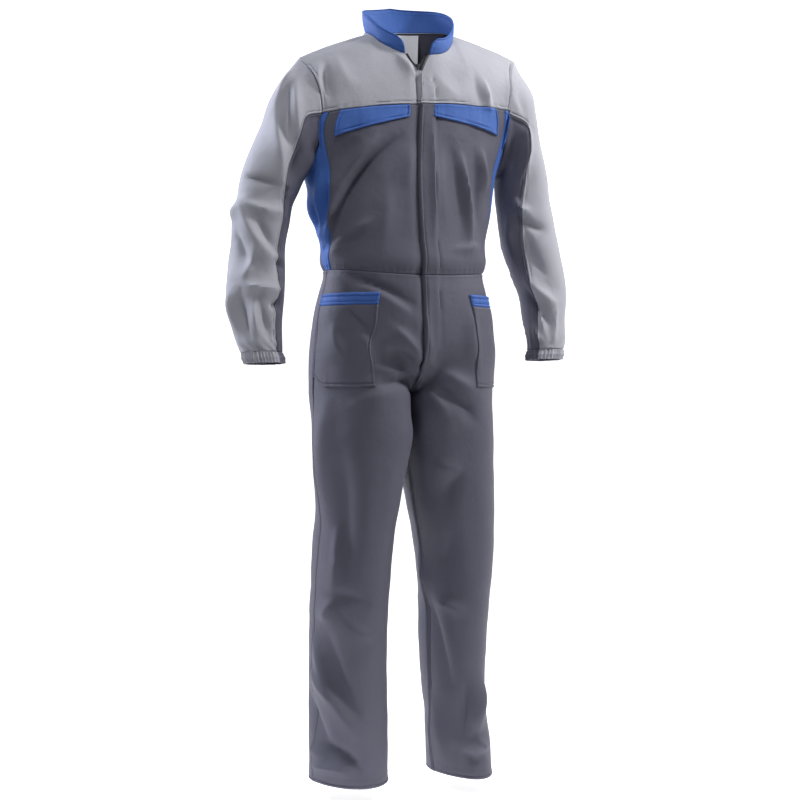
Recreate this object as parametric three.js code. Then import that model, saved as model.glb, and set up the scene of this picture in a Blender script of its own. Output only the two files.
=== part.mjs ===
// A two-tone work coverall, worn shape, standing open at neck, cuffs and hems.
// Millimetres. +X is the wearer's left, -Y the front, +Z up. The origin is the middle of the
// neck base on the shoulder line, where the wearer holds the garment up.

import * as THREE from 'three';
import { mergeVertices } from 'three/addons/utils/BufferGeometryUtils.js';

const { clamp, lerp, smoothstep, degToRad } = THREE.MathUtils;

// Cloth and seams
const WALL = 1.6;
const SEAM_GAP = 0.4;
const ARMHOLE_GAP = 2.7;
const WAIST_GAP = 0.8;
const COLLAR_LIFT = 1;
const OVERLAY_LIFT = 0.4;
const CUFF_CASING = 22;
const CUFF_GATHERS = 32;
const THIN_WALL = 1;

// The front closure: the left front laps over the right one
const CLOSURE_X = -9;
const LAP_DEPTH = 2.6;
const FLY_BOTTOM_Z = -676;

// Strips inside the neck opening: how far past the cloth's edge and how deep behind it
const FACING_PAST = 2.5;
const FACING_DEPTH = 2.6;
const TAPE_PAST = 5;
const TAPE_DEPTH = 4;
const STRIP_UNDER = 7;

// Neck base, an ellipse
const NECK_X = 11;
const NECK_Y = -2;
const NECK_HALF_WIDE = 90;
const NECK_HALF_DEEP = 84;
const COLLAR_START = 5;
const COLLAR_END = 332;
const COLLAR_TIP_SET_BACK = 4;
const COLLAR_LEAN = 7;
const OPENING_LOW_Z = -98;
const LABEL = { x: 33, half: 31, top: 10, high: 62, inside: 4.8, slope: 5 };

// Shoulders: the wearer's right one is lower
const SHOULDER_SWAY = 17;
const SHOULDER_HALF = 243;
const SHOULDER_TIP = { x: 12, y: -6, z: -58 };
const SHOULDER_NECK_ANGLE = 82;
const SHOULDER_BOW = 7;
const YOKE_SIDE_ANGLE = 50;
const YOKE_FRONT_Z = -159;
const YOKE_BACK_Z = -150;
const YOKE_SIDE_Z = -171;

const WAIST_SIDE_Z = -492;
const WAIST_DROP = 12;

// Where the side panels meet the fronts and the back, at the yoke seam and at the waist
const PANEL_TOP_ANGLE = 46;
const PANEL_WAIST_ANGLE = 83;
const PANEL_CORNER = 0.12;
const CROTCH_Z = -740;
const CROTCH_TOP_Z = -630;
const HEM_Z = -1522;
const HEM_FRONT_DROP = 6;

// Chest flap and hip pocket, as shares of a front panel's width
const FLAP_INNER = 0.12;
const FLAP_OUTER = 0.87;
const FLAP_INNER_DROP = 26;
const FLAP_OUTER_DROP = 54;
const POCKET_INNER = 0.376;
const POCKET_BAND_TOP = -542;
const POCKET_BAND_BOTTOM = -565;
const POCKET_BOTTOM = -728;
const POCKET_CORNER_RISE = 20;

// Body sections at each height: centre, half width, depth to the front and back, squareness
const BODY = [
  { z: -90, x: 8, wide: 262, front: 92, back: 98, square: 2.3 },
  { z: -159, x: 5, wide: 262, front: 98, back: 110, square: 2.3 },
  { z: -190, x: 2, wide: 257, front: 101, back: 114, square: 2.3 },
  { z: -240, x: -1, wide: 231, front: 104, back: 117, square: 2.3 },
  { z: -300, x: -4, wide: 206, front: 107, back: 115, square: 2.3 },
  { z: -374, x: -3, wide: 193, front: 110, back: 110, square: 2.3 },
  { z: -430, x: -1, wide: 178, front: 114, back: 107, square: 2.3 },
  { z: -468, x: 0, wide: 174, front: 120, back: 109, square: 2.3 },
  { z: -500, x: 0, wide: 169, front: 117, back: 105, square: 2.3 },
  { z: -535, x: 0, wide: 177, front: 121, back: 110, square: 2.3 },
  { z: -584, x: 0, wide: 188, front: 124, back: 122, square: 2.35 },
  { z: -634, x: 0, wide: 193, front: 124, back: 132, square: 2.45 },
  { z: -683, x: 0, wide: 198, front: 121, back: 136, square: 2.6 },
  { z: -740, x: 0, wide: 198, front: 117, back: 132, square: 2.8 },
];

// Leg sections, for the wearer's right and left leg: centre, half width, half depth, and the
// squareness of the inner and the outer half
const LEGS = {
  right: [
    { z: -740, x: 98, y: 7.5, wide: 97.6, deep: 118, square: 2.5, outer: 1.95 },
    { z: -775, x: 97.5, y: 3, wide: 94.5, deep: 118, square: 2.6, outer: 2 },
    { z: -834, x: 97, y: -5, wide: 92, deep: 114, square: 2.8, outer: 2.2 },
    { z: -953, x: 104, y: -4, wide: 77, deep: 103, square: 2.5, outer: 2.3 },
    { z: -1052, x: 113, y: 2, wide: 75, deep: 99, square: 2.3, outer: 2.2 },
    { z: -1150, x: 118, y: 5, wide: 74, deep: 97, square: 2.2, outer: 2.2 },
    { z: -1249, x: 121, y: 5, wide: 74, deep: 96, square: 2.2, outer: 2.2 },
    { z: -1348, x: 122, y: 5, wide: 75, deep: 95, square: 2.1, outer: 2.1 },
    { z: -1446, x: 121, y: 5, wide: 77, deep: 94, square: 2, outer: 2 },
    { z: -1522, x: 120, y: 5, wide: 78, deep: 93, square: 2, outer: 2 },
  ],
  left: [
    { z: -740, x: 98, y: 7.5, wide: 97.6, deep: 118, square: 2.5, outer: 1.95 },
    { z: -775, x: 98, y: 5, wide: 94.5, deep: 116, square: 2.6, outer: 2 },
    { z: -834, x: 98, y: 0, wide: 92, deep: 112, square: 2.8, outer: 2.2 },
    { z: -953, x: 107, y: 0, wide: 84, deep: 105, square: 2.5, outer: 2.3 },
    { z: -1052, x: 117, y: 3, wide: 76, deep: 102, square: 2.2, outer: 2.2 },
    { z: -1150, x: 119, y: 5, wide: 66, deep: 100, square: 2.1, outer: 2.1 },
    { z: -1249, x: 115, y: 5, wide: 62, deep: 99, square: 2.1, outer: 2.1 },
    { z: -1348, x: 116, y: 5, wide: 54, deep: 101, square: 2, outer: 2 },
    { z: -1397, x: 121, y: 5, wide: 51, deep: 102, square: 2, outer: 2 },
    { z: -1446, x: 126, y: 5, wide: 56, deep: 100, square: 2, outer: 2 },
    { z: -1522, x: 131, y: 5, wide: 58, deep: 99, square: 2, outer: 2 },
  ],
};

// Sleeve sections after the armhole: the outer and inner point, the middle's y, half depth,
// forward pitch in degrees, and the angle of the seam between upper and under sleeve
const SLEEVES = {
  right: [
    { outX: 262, outZ: -110, inX: 214, inZ: -300, y: 2, deep: 68, pitch: 0, seam: 84 },
    { outX: 290, outZ: -159, inX: 217, inZ: -308, y: 4, deep: 69, pitch: 0, seam: 88 },
    { outX: 307, outZ: -208, inX: 222, inZ: -316, y: 5, deep: 67, pitch: 0, seam: 91 },
    { outX: 332, outZ: -262, inX: 227, inZ: -327, y: 6, deep: 64, pitch: 0, seam: 95 },
    { outX: 349, outZ: -312, inX: 234, inZ: -342, y: 6, deep: 61, pitch: 0, seam: 100 },
    { outX: 358, outZ: -355, inX: 246, inZ: -367, y: 6, deep: 58, pitch: 0, seam: 110 },
    { outX: 368, outZ: -399, inX: 253, inZ: -402, y: 5, deep: 58, pitch: 2, seam: 117 },
    { outX: 372, outZ: -446, inX: 264, inZ: -446, y: 2, deep: 57, pitch: 4, seam: 117 },
    { outX: 381, outZ: -495, inX: 268, inZ: -495, y: -5, deep: 58, pitch: 8, seam: 117 },
    { outX: 387, outZ: -543, inX: 272, inZ: -543, y: -15, deep: 57, pitch: 12, seam: 117 },
    { outX: 385, outZ: -591, inX: 281, inZ: -591, y: -28, deep: 53, pitch: 16, seam: 117 },
    { outX: 377, outZ: -639, inX: 287, inZ: -639, y: -44, deep: 46, pitch: 18, seam: 117 },
    { outX: 369, outZ: -662, inX: 290, inZ: -662, y: -52, deep: 40, pitch: 18, seam: 117 },
  ],
  left: [
    { outX: 284, outZ: -88, inX: 217, inZ: -280, y: 2, deep: 68, pitch: 0, seam: 88 },
    { outX: 298, outZ: -135, inX: 219, inZ: -288, y: 4, deep: 69, pitch: 0, seam: 95 },
    { outX: 306, outZ: -178, inX: 221, inZ: -294, y: 5, deep: 66, pitch: 0, seam: 102 },
    { outX: 319, outZ: -225, inX: 222, inZ: -301, y: 6, deep: 63, pitch: 0, seam: 108 },
    { outX: 333, outZ: -274, inX: 223, inZ: -313, y: 6, deep: 60, pitch: 0, seam: 113 },
    { outX: 340, outZ: -326, inX: 224, inZ: -336, y: 6, deep: 59, pitch: 0, seam: 119 },
    { outX: 349, outZ: -375, inX: 229, inZ: -378, y: 5, deep: 60, pitch: 2, seam: 126 },
    { outX: 358, outZ: -426, inX: 236, inZ: -426, y: 2, deep: 60, pitch: 4, seam: 133 },
    { outX: 366, outZ: -476, inX: 249, inZ: -476, y: -5, deep: 58, pitch: 8, seam: 138 },
    { outX: 369, outZ: -527, inX: 267, inZ: -527, y: -15, deep: 52, pitch: 12, seam: 139 },
    { outX: 359, outZ: -578, inX: 270, inZ: -578, y: -28, deep: 46, pitch: 16, seam: 139 },
    { outX: 351, outZ: -629, inX: 271, inZ: -629, y: -44, deep: 41, pitch: 18, seam: 139 },
    { outX: 342, outZ: -650, inX: 269, inZ: -650, y: -51, deep: 38, pitch: 18, seam: 139 },
  ],
};

// The side panel's front edge as an angle round the body, 0 at the front and 90 at the side
const SIDE_PANEL_EDGE = [
  { z: -171, angle: 46 },
  { z: -230, angle: 54 },
  { z: -300, angle: 58 },
  { z: -374, angle: 63 },
  { z: -448, angle: 78 },
  { z: -500, angle: 83 },
];

// The lower half of the armhole, from the yoke seam at share 0 to the underarm at 1
const ARMHOLE_LOW = [
  { share: 0, angle: 50, z: -171 },
  { share: 0.3, angle: 54, z: -208 },
  { share: 0.6, angle: 61, z: -241 },
  { share: 0.82, angle: 73, z: -269 },
  { share: 1, angle: 90, z: -287 },
];

// The yoke's columns: angle at the lower seam, and how far the cloth rolls over the shoulder
const YOKE_FRONT_COLUMNS = [
  { share: 0, angle: -3.6, roll: 15 },
  { share: 0.04, angle: 1.6, roll: 15 },
  { share: 0.1, angle: 5.5, roll: 18 },
  { share: 0.3, angle: 16, roll: 40 },
  { share: 0.5, angle: 27, roll: 62 },
  { share: 1, angle: 50, roll: 70 },
];
const YOKE_BACK_COLUMNS = [
  { share: 0, angle: 0, roll: 30 },
  { share: 0.25, angle: 13, roll: 45 },
  { share: 0.4, angle: 21, roll: 75 },
  { share: 0.5, angle: 27, roll: 100 },
  { share: 1, angle: 50, roll: 110 },
];

// The neck seam's height and the collar's, by angle round the neck from the front
const NECK_SEAM = [
  { angle: 0, z: -58, collar: 30 },
  { angle: 30, z: -52, collar: 30 },
  { angle: 60, z: -28, collar: 32 },
  { angle: 82, z: -6, collar: 35 },
  { angle: 120, z: 8, collar: 44 },
  { angle: 180, z: 15, collar: 51 },
];

// How far the front closure runs past the middle, and the vent's half width at the side seam
const LAP = [
  { z: -480, under: 0.045, depth: 1 },
  { z: -592, under: 0.045, depth: 1 },
  { z: -645, under: 0.01, depth: 1 },
  { z: FLY_BOTTOM_Z, under: 0, depth: 1 },
  { z: -702, under: 0, depth: 0 },
  { z: -760, under: 0, depth: 0 },
];
const VENT = [
  { z: -573, half: 0 },
  { z: -600, half: 0.014 },
  { z: -620, half: 0.022 },
  { z: -650, half: 0.013 },
  { z: -720, half: 0.01 },
  { z: -789, half: 0 },
];
const POCKET_SPREAD = [
  { z: -600, amount: 0 },
  { z: -645, amount: 0.025 },
  { z: -676, amount: 0.07 },
  { z: -700, amount: 0.13 },
  { z: -728, amount: 0.176 },
  { z: -775, amount: 0.12 },
  { z: -860, amount: 0.05 },
];

// The largest folds: a soft ridge (or trough, where high is below 0) along a line seen from
// the front or the back
const FOLDS = {
  front: [
    { x1: -190, z1: -265, x2: -95, z2: -340, wide: 20, high: -6 },
    { x1: -95, z1: -255, x2: -165, z2: -455, wide: 15, high: -7 },
    { x1: -70, z1: -300, x2: -160, z2: -480, wide: 13, high: 5 },
    { x1: -125, z1: -235, x2: -120, z2: -350, wide: 16, high: 5 },
    { x1: 70, z1: -235, x2: 98, z2: -440, wide: 15, high: 5 },
    { x1: 120, z1: -240, x2: 125, z2: -420, wide: 12, high: 4 },
    { x1: 96, z1: -250, x2: 110, z2: -420, wide: 12, high: -5 },
    { x1: -60, z1: -420, x2: -150, z2: -440, wide: 14, high: 4 },
    { x1: -20, z1: -725, x2: -120, z2: -655, wide: 13, high: 6 },
    { x1: -25, z1: -755, x2: -140, z2: -700, wide: 12, high: -6 },
    { x1: -28, z1: -790, x2: -120, z2: -770, wide: 14, high: 6 },
    { x1: 20, z1: -730, x2: 110, z2: -660, wide: 14, high: 6 },
    { x1: 25, z1: -762, x2: 120, z2: -725, wide: 12, high: -6 },
    { x1: -130, z1: -840, x2: -128, z2: -1050, wide: 16, high: 6 },
    { x1: -170, z1: -1080, x2: -80, z2: -1150, wide: 16, high: -6 },
    { x1: -60, z1: -1100, x2: -150, z2: -1210, wide: 15, high: 6 },
    { x1: -180, z1: -1210, x2: -90, z2: -1290, wide: 15, high: -6 },
    { x1: -110, z1: -1290, x2: -118, z2: -1522, wide: 15, high: 8 },
    { x1: -170, z1: -1400, x2: -90, z2: -1450, wide: 13, high: -5 },
    { x1: 130, z1: -830, x2: 122, z2: -1080, wide: 15, high: 6 },
    { x1: 70, z1: -1120, x2: 160, z2: -1190, wide: 14, high: -6 },
    { x1: 155, z1: -1310, x2: 100, z2: -1425, wide: 15, high: 7 },
    { x1: 150, z1: -1400, x2: 115, z2: -1440, wide: 12, high: -6 },
    { x1: 100, z1: -1440, x2: 165, z2: -1500, wide: 13, high: 6 },
  ],
  back: [
    { x1: -180, z1: -270, x2: -60, z2: -360, wide: 18, high: -6 },
    { x1: 180, z1: -270, x2: 65, z2: -370, wide: 18, high: -6 },
    { x1: -90, z1: -240, x2: -100, z2: -430, wide: 16, high: 6 },
    { x1: 85, z1: -235, x2: 95, z2: -425, wide: 16, high: 6 },
    { x1: -30, z1: -260, x2: -35, z2: -450, wide: 14, high: 4 },
    { x1: -20, z1: -735, x2: -130, z2: -665, wide: 14, high: 6 },
    { x1: 20, z1: -735, x2: 125, z2: -670, wide: 14, high: 6 },
    { x1: -30, z1: -775, x2: -140, z2: -745, wide: 14, high: -6 },
    { x1: 30, z1: -775, x2: 135, z2: -750, wide: 14, high: -6 },
    { x1: -60, z1: -1080, x2: -165, z2: -1130, wide: 16, high: -7 },
    { x1: -70, z1: -1160, x2: -165, z2: -1185, wide: 16, high: 6 },
    { x1: 70, z1: -1080, x2: 165, z2: -1140, wide: 16, high: -7 },
    { x1: 75, z1: -1165, x2: 160, z2: -1200, wide: 16, high: 6 },
    { x1: -100, z1: -1250, x2: -150, z2: -1400, wide: 15, high: 6 },
    { x1: 105, z1: -1250, x2: 145, z2: -1400, wide: 14, high: 6 },
    { x1: -90, z1: -1430, x2: -165, z2: -1480, wide: 13, high: -5 },
  ],
};

// Elbow and forearm folds on a sleeve, by angle round it and by section number
const SLEEVE_FOLDS = [
  { a1: -60, row1: 2, a2: 40, row2: 5, wide: 0.5, high: 4 },
  { a1: 60, row1: 7.2, a2: 170, row2: 8, wide: 0.35, high: -5 },
  { a1: 50, row1: 8.2, a2: 170, row2: 8.8, wide: 0.35, high: 5 },
  { a1: 20, row1: 9.2, a2: 110, row2: 10.6, wide: 0.4, high: -4 },
  { a1: -80, row1: 8.4, a2: 20, row2: 10, wide: 0.45, high: 4 },
  { a1: 200, row1: 7, a2: 270, row2: 9.5, wide: 0.45, high: 4 },
  { a1: 30, row1: 4, a2: 80, row2: 6.8, wide: 0.45, high: 4 },
];

const LIGHT_GREY = { color: 0xa3a6ad, roughness: 0.85, metalness: 0 };
const DARK_GREY = { color: 0x57575f, roughness: 0.85, metalness: 0 };
const BLUE = { color: 0x4468b0, roughness: 0.85, metalness: 0 };
const WHITE = { color: 0xe4e4e6, roughness: 0.8, metalness: 0 };
const BLACK = { color: 0x1a1a1e, roughness: 0.7, metalness: 0 };
const METAL = { color: 0x4c4e54, roughness: 0.35, metalness: 0.9 };

const suit = new THREE.Group();

// Reading tables

function tableSlope(table, key, column, index) {
  const before = table[Math.max(index - 1, 0)];
  const after = table[Math.min(index + 1, table.length - 1)];
  return (after[column] - before[column]) / (after[key] - before[key]);
}

// A smooth reading of one column at a value of the key column, held level past both ends
function read(table, key, value, column) {
  const falling = table[0][key] > table[table.length - 1][key];
  let index = 0;
  while (index < table.length - 2) {
    const next = table[index + 1][key];
    if (falling ? value >= next : value <= next) break;
    index += 1;
  }
  const low = table[index];
  const high = table[index + 1];
  const span = high[key] - low[key];
  const t = clamp((value - low[key]) / span, 0, 1);
  const m1 = tableSlope(table, key, column, index) * span;
  const m2 = tableSlope(table, key, column, index + 1) * span;
  const t2 = t * t;
  const t3 = t2 * t;
  return (2 * t3 - 3 * t2 + 1) * low[column] + (t3 - 2 * t2 + t) * m1
    + (3 * t2 - 2 * t3) * high[column] + (t3 - t2) * m2;
}

const sin = (degrees) => Math.sin(degToRad(degrees));
const cos = (degrees) => Math.cos(degToRad(degrees));

// A point on a rounded section: the angle runs from the front (0) to the side (90)
function sectionPoint(angle, wide, deep, square) {
  const across = sin(angle);
  const along = cos(angle);
  const reach = (Math.abs(across) ** square + Math.abs(along) ** square) ** (-1 / square);
  return { x: wide * reach * across, y: -deep * reach * along };
}

// The whole body leans: above the waist the wearer's right side drops
function sway(point) {
  const rise = clamp((point.z + 490) / 320, 0, 1);
  point.z += SHOULDER_SWAY * clamp(point.x / SHOULDER_HALF, -1, 1) * rise;
  return point;
}

// Base surfaces

// The trunk, with signed angles: 0 front, 90 the wearer's left side, -90 the right, 180 back
function bodyPlace(angle, z) {
  const depth = read(BODY, 'z', z, Math.abs(angle) < 90 ? 'front' : 'back');
  const flat = sectionPoint(angle, read(BODY, 'z', z, 'wide'), depth, read(BODY, 'z', z, 'square'));
  const shift = CLOSURE_X * Math.max(0, cos(angle)) ** 3;
  return new THREE.Vector3(flat.x + read(BODY, 'z', z, 'x') + shift, flat.y, z);
}

const bodySurface = (angle, z) => sway(bodyPlace(angle, z));

const sideName = (side) => (side < 0 ? 'right' : 'left');

function yokeSeamZ(angle) {
  const middle = Math.abs(angle) < 90 ? YOKE_FRONT_Z : YOKE_BACK_Z;
  return middle + (YOKE_SIDE_Z - middle) * (sin(angle) / sin(YOKE_SIDE_ANGLE)) ** 2;
}

function waistZ(angle) {
  return WAIST_SIDE_Z - WAIST_DROP * Math.max(0, cos(angle)) ** 2;
}

// The neck base, by angle from the front, positive to the wearer's left
function neckPlace(angle) {
  const turned = Math.abs(angle > 180 ? angle - 360 : angle);
  return new THREE.Vector3(
    NECK_X + NECK_HALF_WIDE * sin(angle),
    NECK_Y - NECK_HALF_DEEP * cos(angle),
    read(NECK_SEAM, 'angle', turned, 'z'),
  );
}

function shoulderPlace(side, share) {
  const start = neckPlace(side * SHOULDER_NECK_ANGLE);
  const tip = new THREE.Vector3(SHOULDER_TIP.x + side * SHOULDER_HALF, SHOULDER_TIP.y, SHOULDER_TIP.z);
  const place = start.lerp(tip, share);
  place.z += SHOULDER_BOW * share * (1 - share);
  return place;
}

// A column of cloth rising from a low point and rolling over towards a high one
function rolled(low, high, roll, rise) {
  const across = (1 - cos(roll * rise)) / (1 - cos(roll));
  const up = sin(roll * rise) / sin(roll);
  return new THREE.Vector3(
    lerp(low.x, high.x, across),
    lerp(low.y, high.y, across),
    lerp(low.z, high.z, up),
  );
}

// Shares of a front yoke's top edge: the opening's edge ends at the first, the neck at the second
const EDGE_SHARE = 0.1;
const NECK_SHARE = 0.5;
const OPENING_BOW = 2;

const collarEnd = (side) => (side < 0 ? COLLAR_END - 360 : COLLAR_START);

function yokeFrontTop(side, share) {
  const end = collarEnd(side);
  if (share >= NECK_SHARE) return shoulderPlace(side, (share - NECK_SHARE) / (1 - NECK_SHARE));
  if (share >= EDGE_SHARE) {
    const around = (share - EDGE_SHARE) / (NECK_SHARE - EDGE_SHARE);
    return neckPlace(lerp(end, side * SHOULDER_NECK_ANGLE, around));
  }
  const lapped = side < 0 ? 1 : 0.1;
  const low = bodyPlace(side * read(YOKE_FRONT_COLUMNS, 'share', share, 'angle') * lapped, OPENING_LOW_Z);
  const t = clamp(share / EDGE_SHARE, 0, 1);
  const edge = low.lerp(neckPlace(end), t);
  edge.x -= OPENING_BOW * side * Math.sin(Math.PI * t);
  return edge;
}

function yokeFrontPlace(side, share, rise) {
  const lapped = side > 0 && share < EDGE_SHARE ? lerp(0.1, 1, share / EDGE_SHARE) : 1;
  const angle = side * read(YOKE_FRONT_COLUMNS, 'share', share, 'angle') * lapped;
  const low = bodyPlace(angle, yokeSeamZ(angle));
  const roll = read(YOKE_FRONT_COLUMNS, 'share', share, 'roll');
  return sway(rolled(low, yokeFrontTop(side, share), roll, rise));
}

function yokeBackPlace(share, rise) {
  const side = share < 0 ? -1 : 1;
  const reach = Math.abs(share);
  const angle = side * (180 - read(YOKE_BACK_COLUMNS, 'share', reach, 'angle'));
  const low = bodyPlace(angle, yokeSeamZ(angle));
  const top = reach >= NECK_SHARE
    ? shoulderPlace(side, (reach - NECK_SHARE) / (1 - NECK_SHARE))
    : neckPlace(side * lerp(180, SHOULDER_NECK_ANGLE, reach / NECK_SHARE));
  return sway(rolled(low, top, read(YOKE_BACK_COLUMNS, 'share', reach, 'roll'), rise));
}

// The armhole as a closed line, read by share of its length from the shoulder tip to the
// front, the underarm and up the back
function armholeLine(side) {
  const points = [];
  const count = 24;
  const low = (share, back) => {
    const angle = read(ARMHOLE_LOW, 'share', share, 'angle');
    return bodySurface(side * (back ? 180 - angle : angle), read(ARMHOLE_LOW, 'share', share, 'z'));
  };
  for (let i = 0; i < count; i += 1) points.push(yokeFrontPlace(side, 1, 1 - i / count));
  for (let i = 0; i < count; i += 1) points.push(low(i / count, false));
  for (let i = count; i > 0; i -= 1) points.push(low(i / count, true));
  for (let i = 0; i <= count; i += 1) points.push(yokeBackPlace(side, i / count));
  const lengths = [0];
  for (let i = 1; i < points.length; i += 1) {
    lengths.push(lengths[i - 1] + points[i].distanceTo(points[i - 1]));
  }
  const whole = lengths[lengths.length - 1];
  return (share) => {
    const wanted = (((share % 1) + 1) % 1) * whole;
    let index = 1;
    while (index < lengths.length - 1 && lengths[index] < wanted) index += 1;
    const t = (wanted - lengths[index - 1]) / (lengths[index] - lengths[index - 1]);
    return points[index - 1].clone().lerp(points[index], t);
  };
}

const armholes = { right: armholeLine(-1), left: armholeLine(1) };

// One section of a sleeve: number 0 is the armhole. The angle runs from the outer side (0)
// over the front (90) to the inner side (180) and the back (270)
function sleeveSection(side, angle, number) {
  if (number === 0) {
    const edge = armholes[sideName(side)](angle / 360);
    edge.x += side * ARMHOLE_GAP;
    return edge;
  }
  const row = SLEEVES[sideName(side)][number - 1];
  const outward = (row.outX - row.inX) / 2;
  const upward = (row.outZ - row.inZ) / 2;
  return new THREE.Vector3(
    side * ((row.outX + row.inX) / 2 + outward * cos(angle)),
    row.y - row.deep * cos(row.pitch) * sin(angle),
    (row.outZ + row.inZ) / 2 + upward * cos(angle) + row.deep * sin(row.pitch) * sin(angle),
  );
}

function sleevePlace(side, angle, row) {
  const last = SLEEVES.right.length;
  const index = clamp(Math.floor(row), 0, last - 1);
  const t = row - index;
  const near = [index - 1, index, index + 1, index + 2];
  const around = near.map((number) => sleeveSection(side, angle, clamp(number, 0, last)));
  const curve = (axis) => {
    const [p0, p1, p2, p3] = around.map((point) => point[axis]);
    const m1 = (p2 - p0) / 2;
    const m2 = (p3 - p1) / 2;
    return p1 + t * (m1 + t * (3 * (p2 - p1) - 2 * m1 - m2 + t * (2 * (p1 - p2) + m1 + m2)));
  };
  return new THREE.Vector3(curve('x'), curve('y'), curve('z'));
}

function sleeveSeam(side, row) {
  const seams = SLEEVES[sideName(side)].map(({ seam }, index) => ({ row: index + 1, seam }));
  return read(seams, 'row', row, 'seam');
}

// The share of leg in the trouser section: 0 on the hips, 1 from the crotch down. Beside the
// middle seam it grows late, which gives the seam its curve under the crotch
function legShare(z, around) {
  const t = clamp((CROTCH_TOP_Z - z) / (CROTCH_TOP_Z - CROTCH_Z), 0, 1);
  const late = 1 - Math.sqrt(1 - t * t);
  return lerp(late, smoothstep(t, 0, 1), smoothstep(Math.min(around, 2 - around), 0, 0.35));
}

// Hips and leg of one side: around is 0 at the front middle or inseam, 1 at the side seam and
// 2 at the back middle or inseam
function trouserPlace(side, around, z) {
  const share = legShare(z, around);
  const hip = bodyPlace(side * around * 90, Math.max(z, CROTCH_Z));
  hip.x -= CLOSURE_X * Math.max(0, cos(around * 90)) ** 3 * share;
  const table = LEGS[sideName(side)];
  const turn = around * 180 - 90;
  const level = Math.min(z, CROTCH_Z);
  const square = read(table, 'z', level, turn > 0 && turn < 180 ? 'outer' : 'square');
  const wide = read(table, 'z', level, 'wide');
  const section = sectionPoint(turn, wide, read(table, 'z', level, 'deep'), square);
  const legX = side * (read(table, 'z', level, 'x') + section.x);
  const legY = read(table, 'z', level, 'y') + section.y;
  const drop = HEM_FRONT_DROP * Math.max(0, cos(turn)) ** 2 * smoothstep(-z, -HEM_Z - 60, -HEM_Z);
  return new THREE.Vector3(lerp(hip.x, legX, share), lerp(hip.y, legY, share), z - drop);
}

// Folds

function foldReach(fold, x, z) {
  const dx = fold.x2 - fold.x1;
  const dz = fold.z2 - fold.z1;
  const along = clamp(((x - fold.x1) * dx + (z - fold.z1) * dz) / (dx * dx + dz * dz), 0, 1);
  const off = Math.hypot(x - fold.x1 - along * dx, z - fold.z1 - along * dz) / fold.wide;
  return fold.high * Math.exp(-off * off) * (0.35 + 0.65 * Math.sin(Math.PI * along));
}

function foldHeight(point, normal) {
  const face = normal.y < 0 ? 'front' : 'back';
  const facing = smoothstep(Math.abs(normal.y), 0.15, 0.6);
  return facing * FOLDS[face].reduce((sum, fold) => sum + foldReach(fold, point.x, point.z), 0);
}

function sleeveFoldHeight(angle, row) {
  const turn = ((angle + 90) % 360 + 360) % 360 - 90;
  return SLEEVE_FOLDS.reduce((sum, fold) => {
    const da = (fold.a2 - fold.a1) / 60;
    const dr = fold.row2 - fold.row1;
    const a = (turn - fold.a1) / 60;
    const r = row - fold.row1;
    const along = clamp((a * da + r * dr) / (da * da + dr * dr), 0, 1);
    const off = Math.hypot(a - along * da, r - along * dr) / fold.wide;
    return sum + fold.high * Math.exp(-off * off) * (0.3 + 0.7 * Math.sin(Math.PI * along));
  }, 0);
}

// The outward normal of a surface, worked out from points a small step apart
function normalAt(place, u, v, stepU, stepV, heart) {
  const acrossU = place(u + stepU, v).sub(place(u - stepU, v));
  const acrossV = place(u, v + stepV).sub(place(u, v - stepV));
  const normal = acrossU.cross(acrossV).normalize();
  const outward = place(u, v).sub(heart);
  return normal.dot(outward) < 0 ? normal.negate() : normal;
}

// Panels

const CHEST_HEART = new THREE.Vector3(0, 0, -220);

// A point of a panel: where it is, its outward normal and how far the cloth stands off there
function bodySpot(angle, z, lift = 0) {
  const point = bodySurface(angle, z);
  const normal = normalAt(bodySurface, angle, z, 1, 3, new THREE.Vector3(0, 0, z));
  return { point: point.addScaledVector(normal, foldHeight(point, normal) + lift), normal };
}

function yokeFrontSpot(side, share, rise, lift = 0) {
  const place = (s, r) => yokeFrontPlace(side, s, r);
  const point = place(share, rise);
  const normal = normalAt(place, clamp(share, 0.012, 0.99), rise, 0.01, 0.02, CHEST_HEART);
  return { point: point.addScaledVector(normal, lift), normal };
}

function yokeBackSpot(share, rise) {
  const point = yokeBackPlace(share, rise);
  const normal = normalAt(yokeBackPlace, clamp(share, -0.99, 0.99), rise, 0.01, 0.02, CHEST_HEART);
  return { point, normal };
}

function sleeveHeart(side, row) {
  return sleevePlace(side, 0, row).add(sleevePlace(side, 180, row)).multiplyScalar(0.5);
}

function sleeveSpot(side, angle, row) {
  const place = (a, r) => sleevePlace(side, a, r);
  const normal = normalAt(place, angle, row, 2, 0.04, sleeveHeart(side, row));
  const fade = smoothstep(row, 0, 1.5) * (1 - smoothstep(row, 11.5, 13));
  const point = place(angle, row).addScaledVector(normal, sleeveFoldHeight(angle, row) * fade);
  return { point, normal };
}

function trouserSpot(side, around, z, lift = 0) {
  const place = (a, height) => trouserPlace(side, a, height);
  const share = legShare(z, around);
  const table = LEGS[sideName(side)];
  const above = share > 0.05 && share < 1 ? 25 : 0;
  const heart = new THREE.Vector3(side * read(table, 'z', z, 'x') * share, 0, z + above);
  const level = Math.abs(z - CROTCH_Z) < 1.5 ? CROTCH_Z - 3 : z;
  const normal = normalAt(place, around, level, 0.01, 1, heart);
  const point = place(around, z);
  const seam = smoothstep(Math.min(around, 2 - around), 0, 0.12);
  const calm = share > 0.2 ? seam : 1;
  return { point: point.addScaledVector(normal, foldHeight(point, normal) * calm + lift), normal };
}

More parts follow.
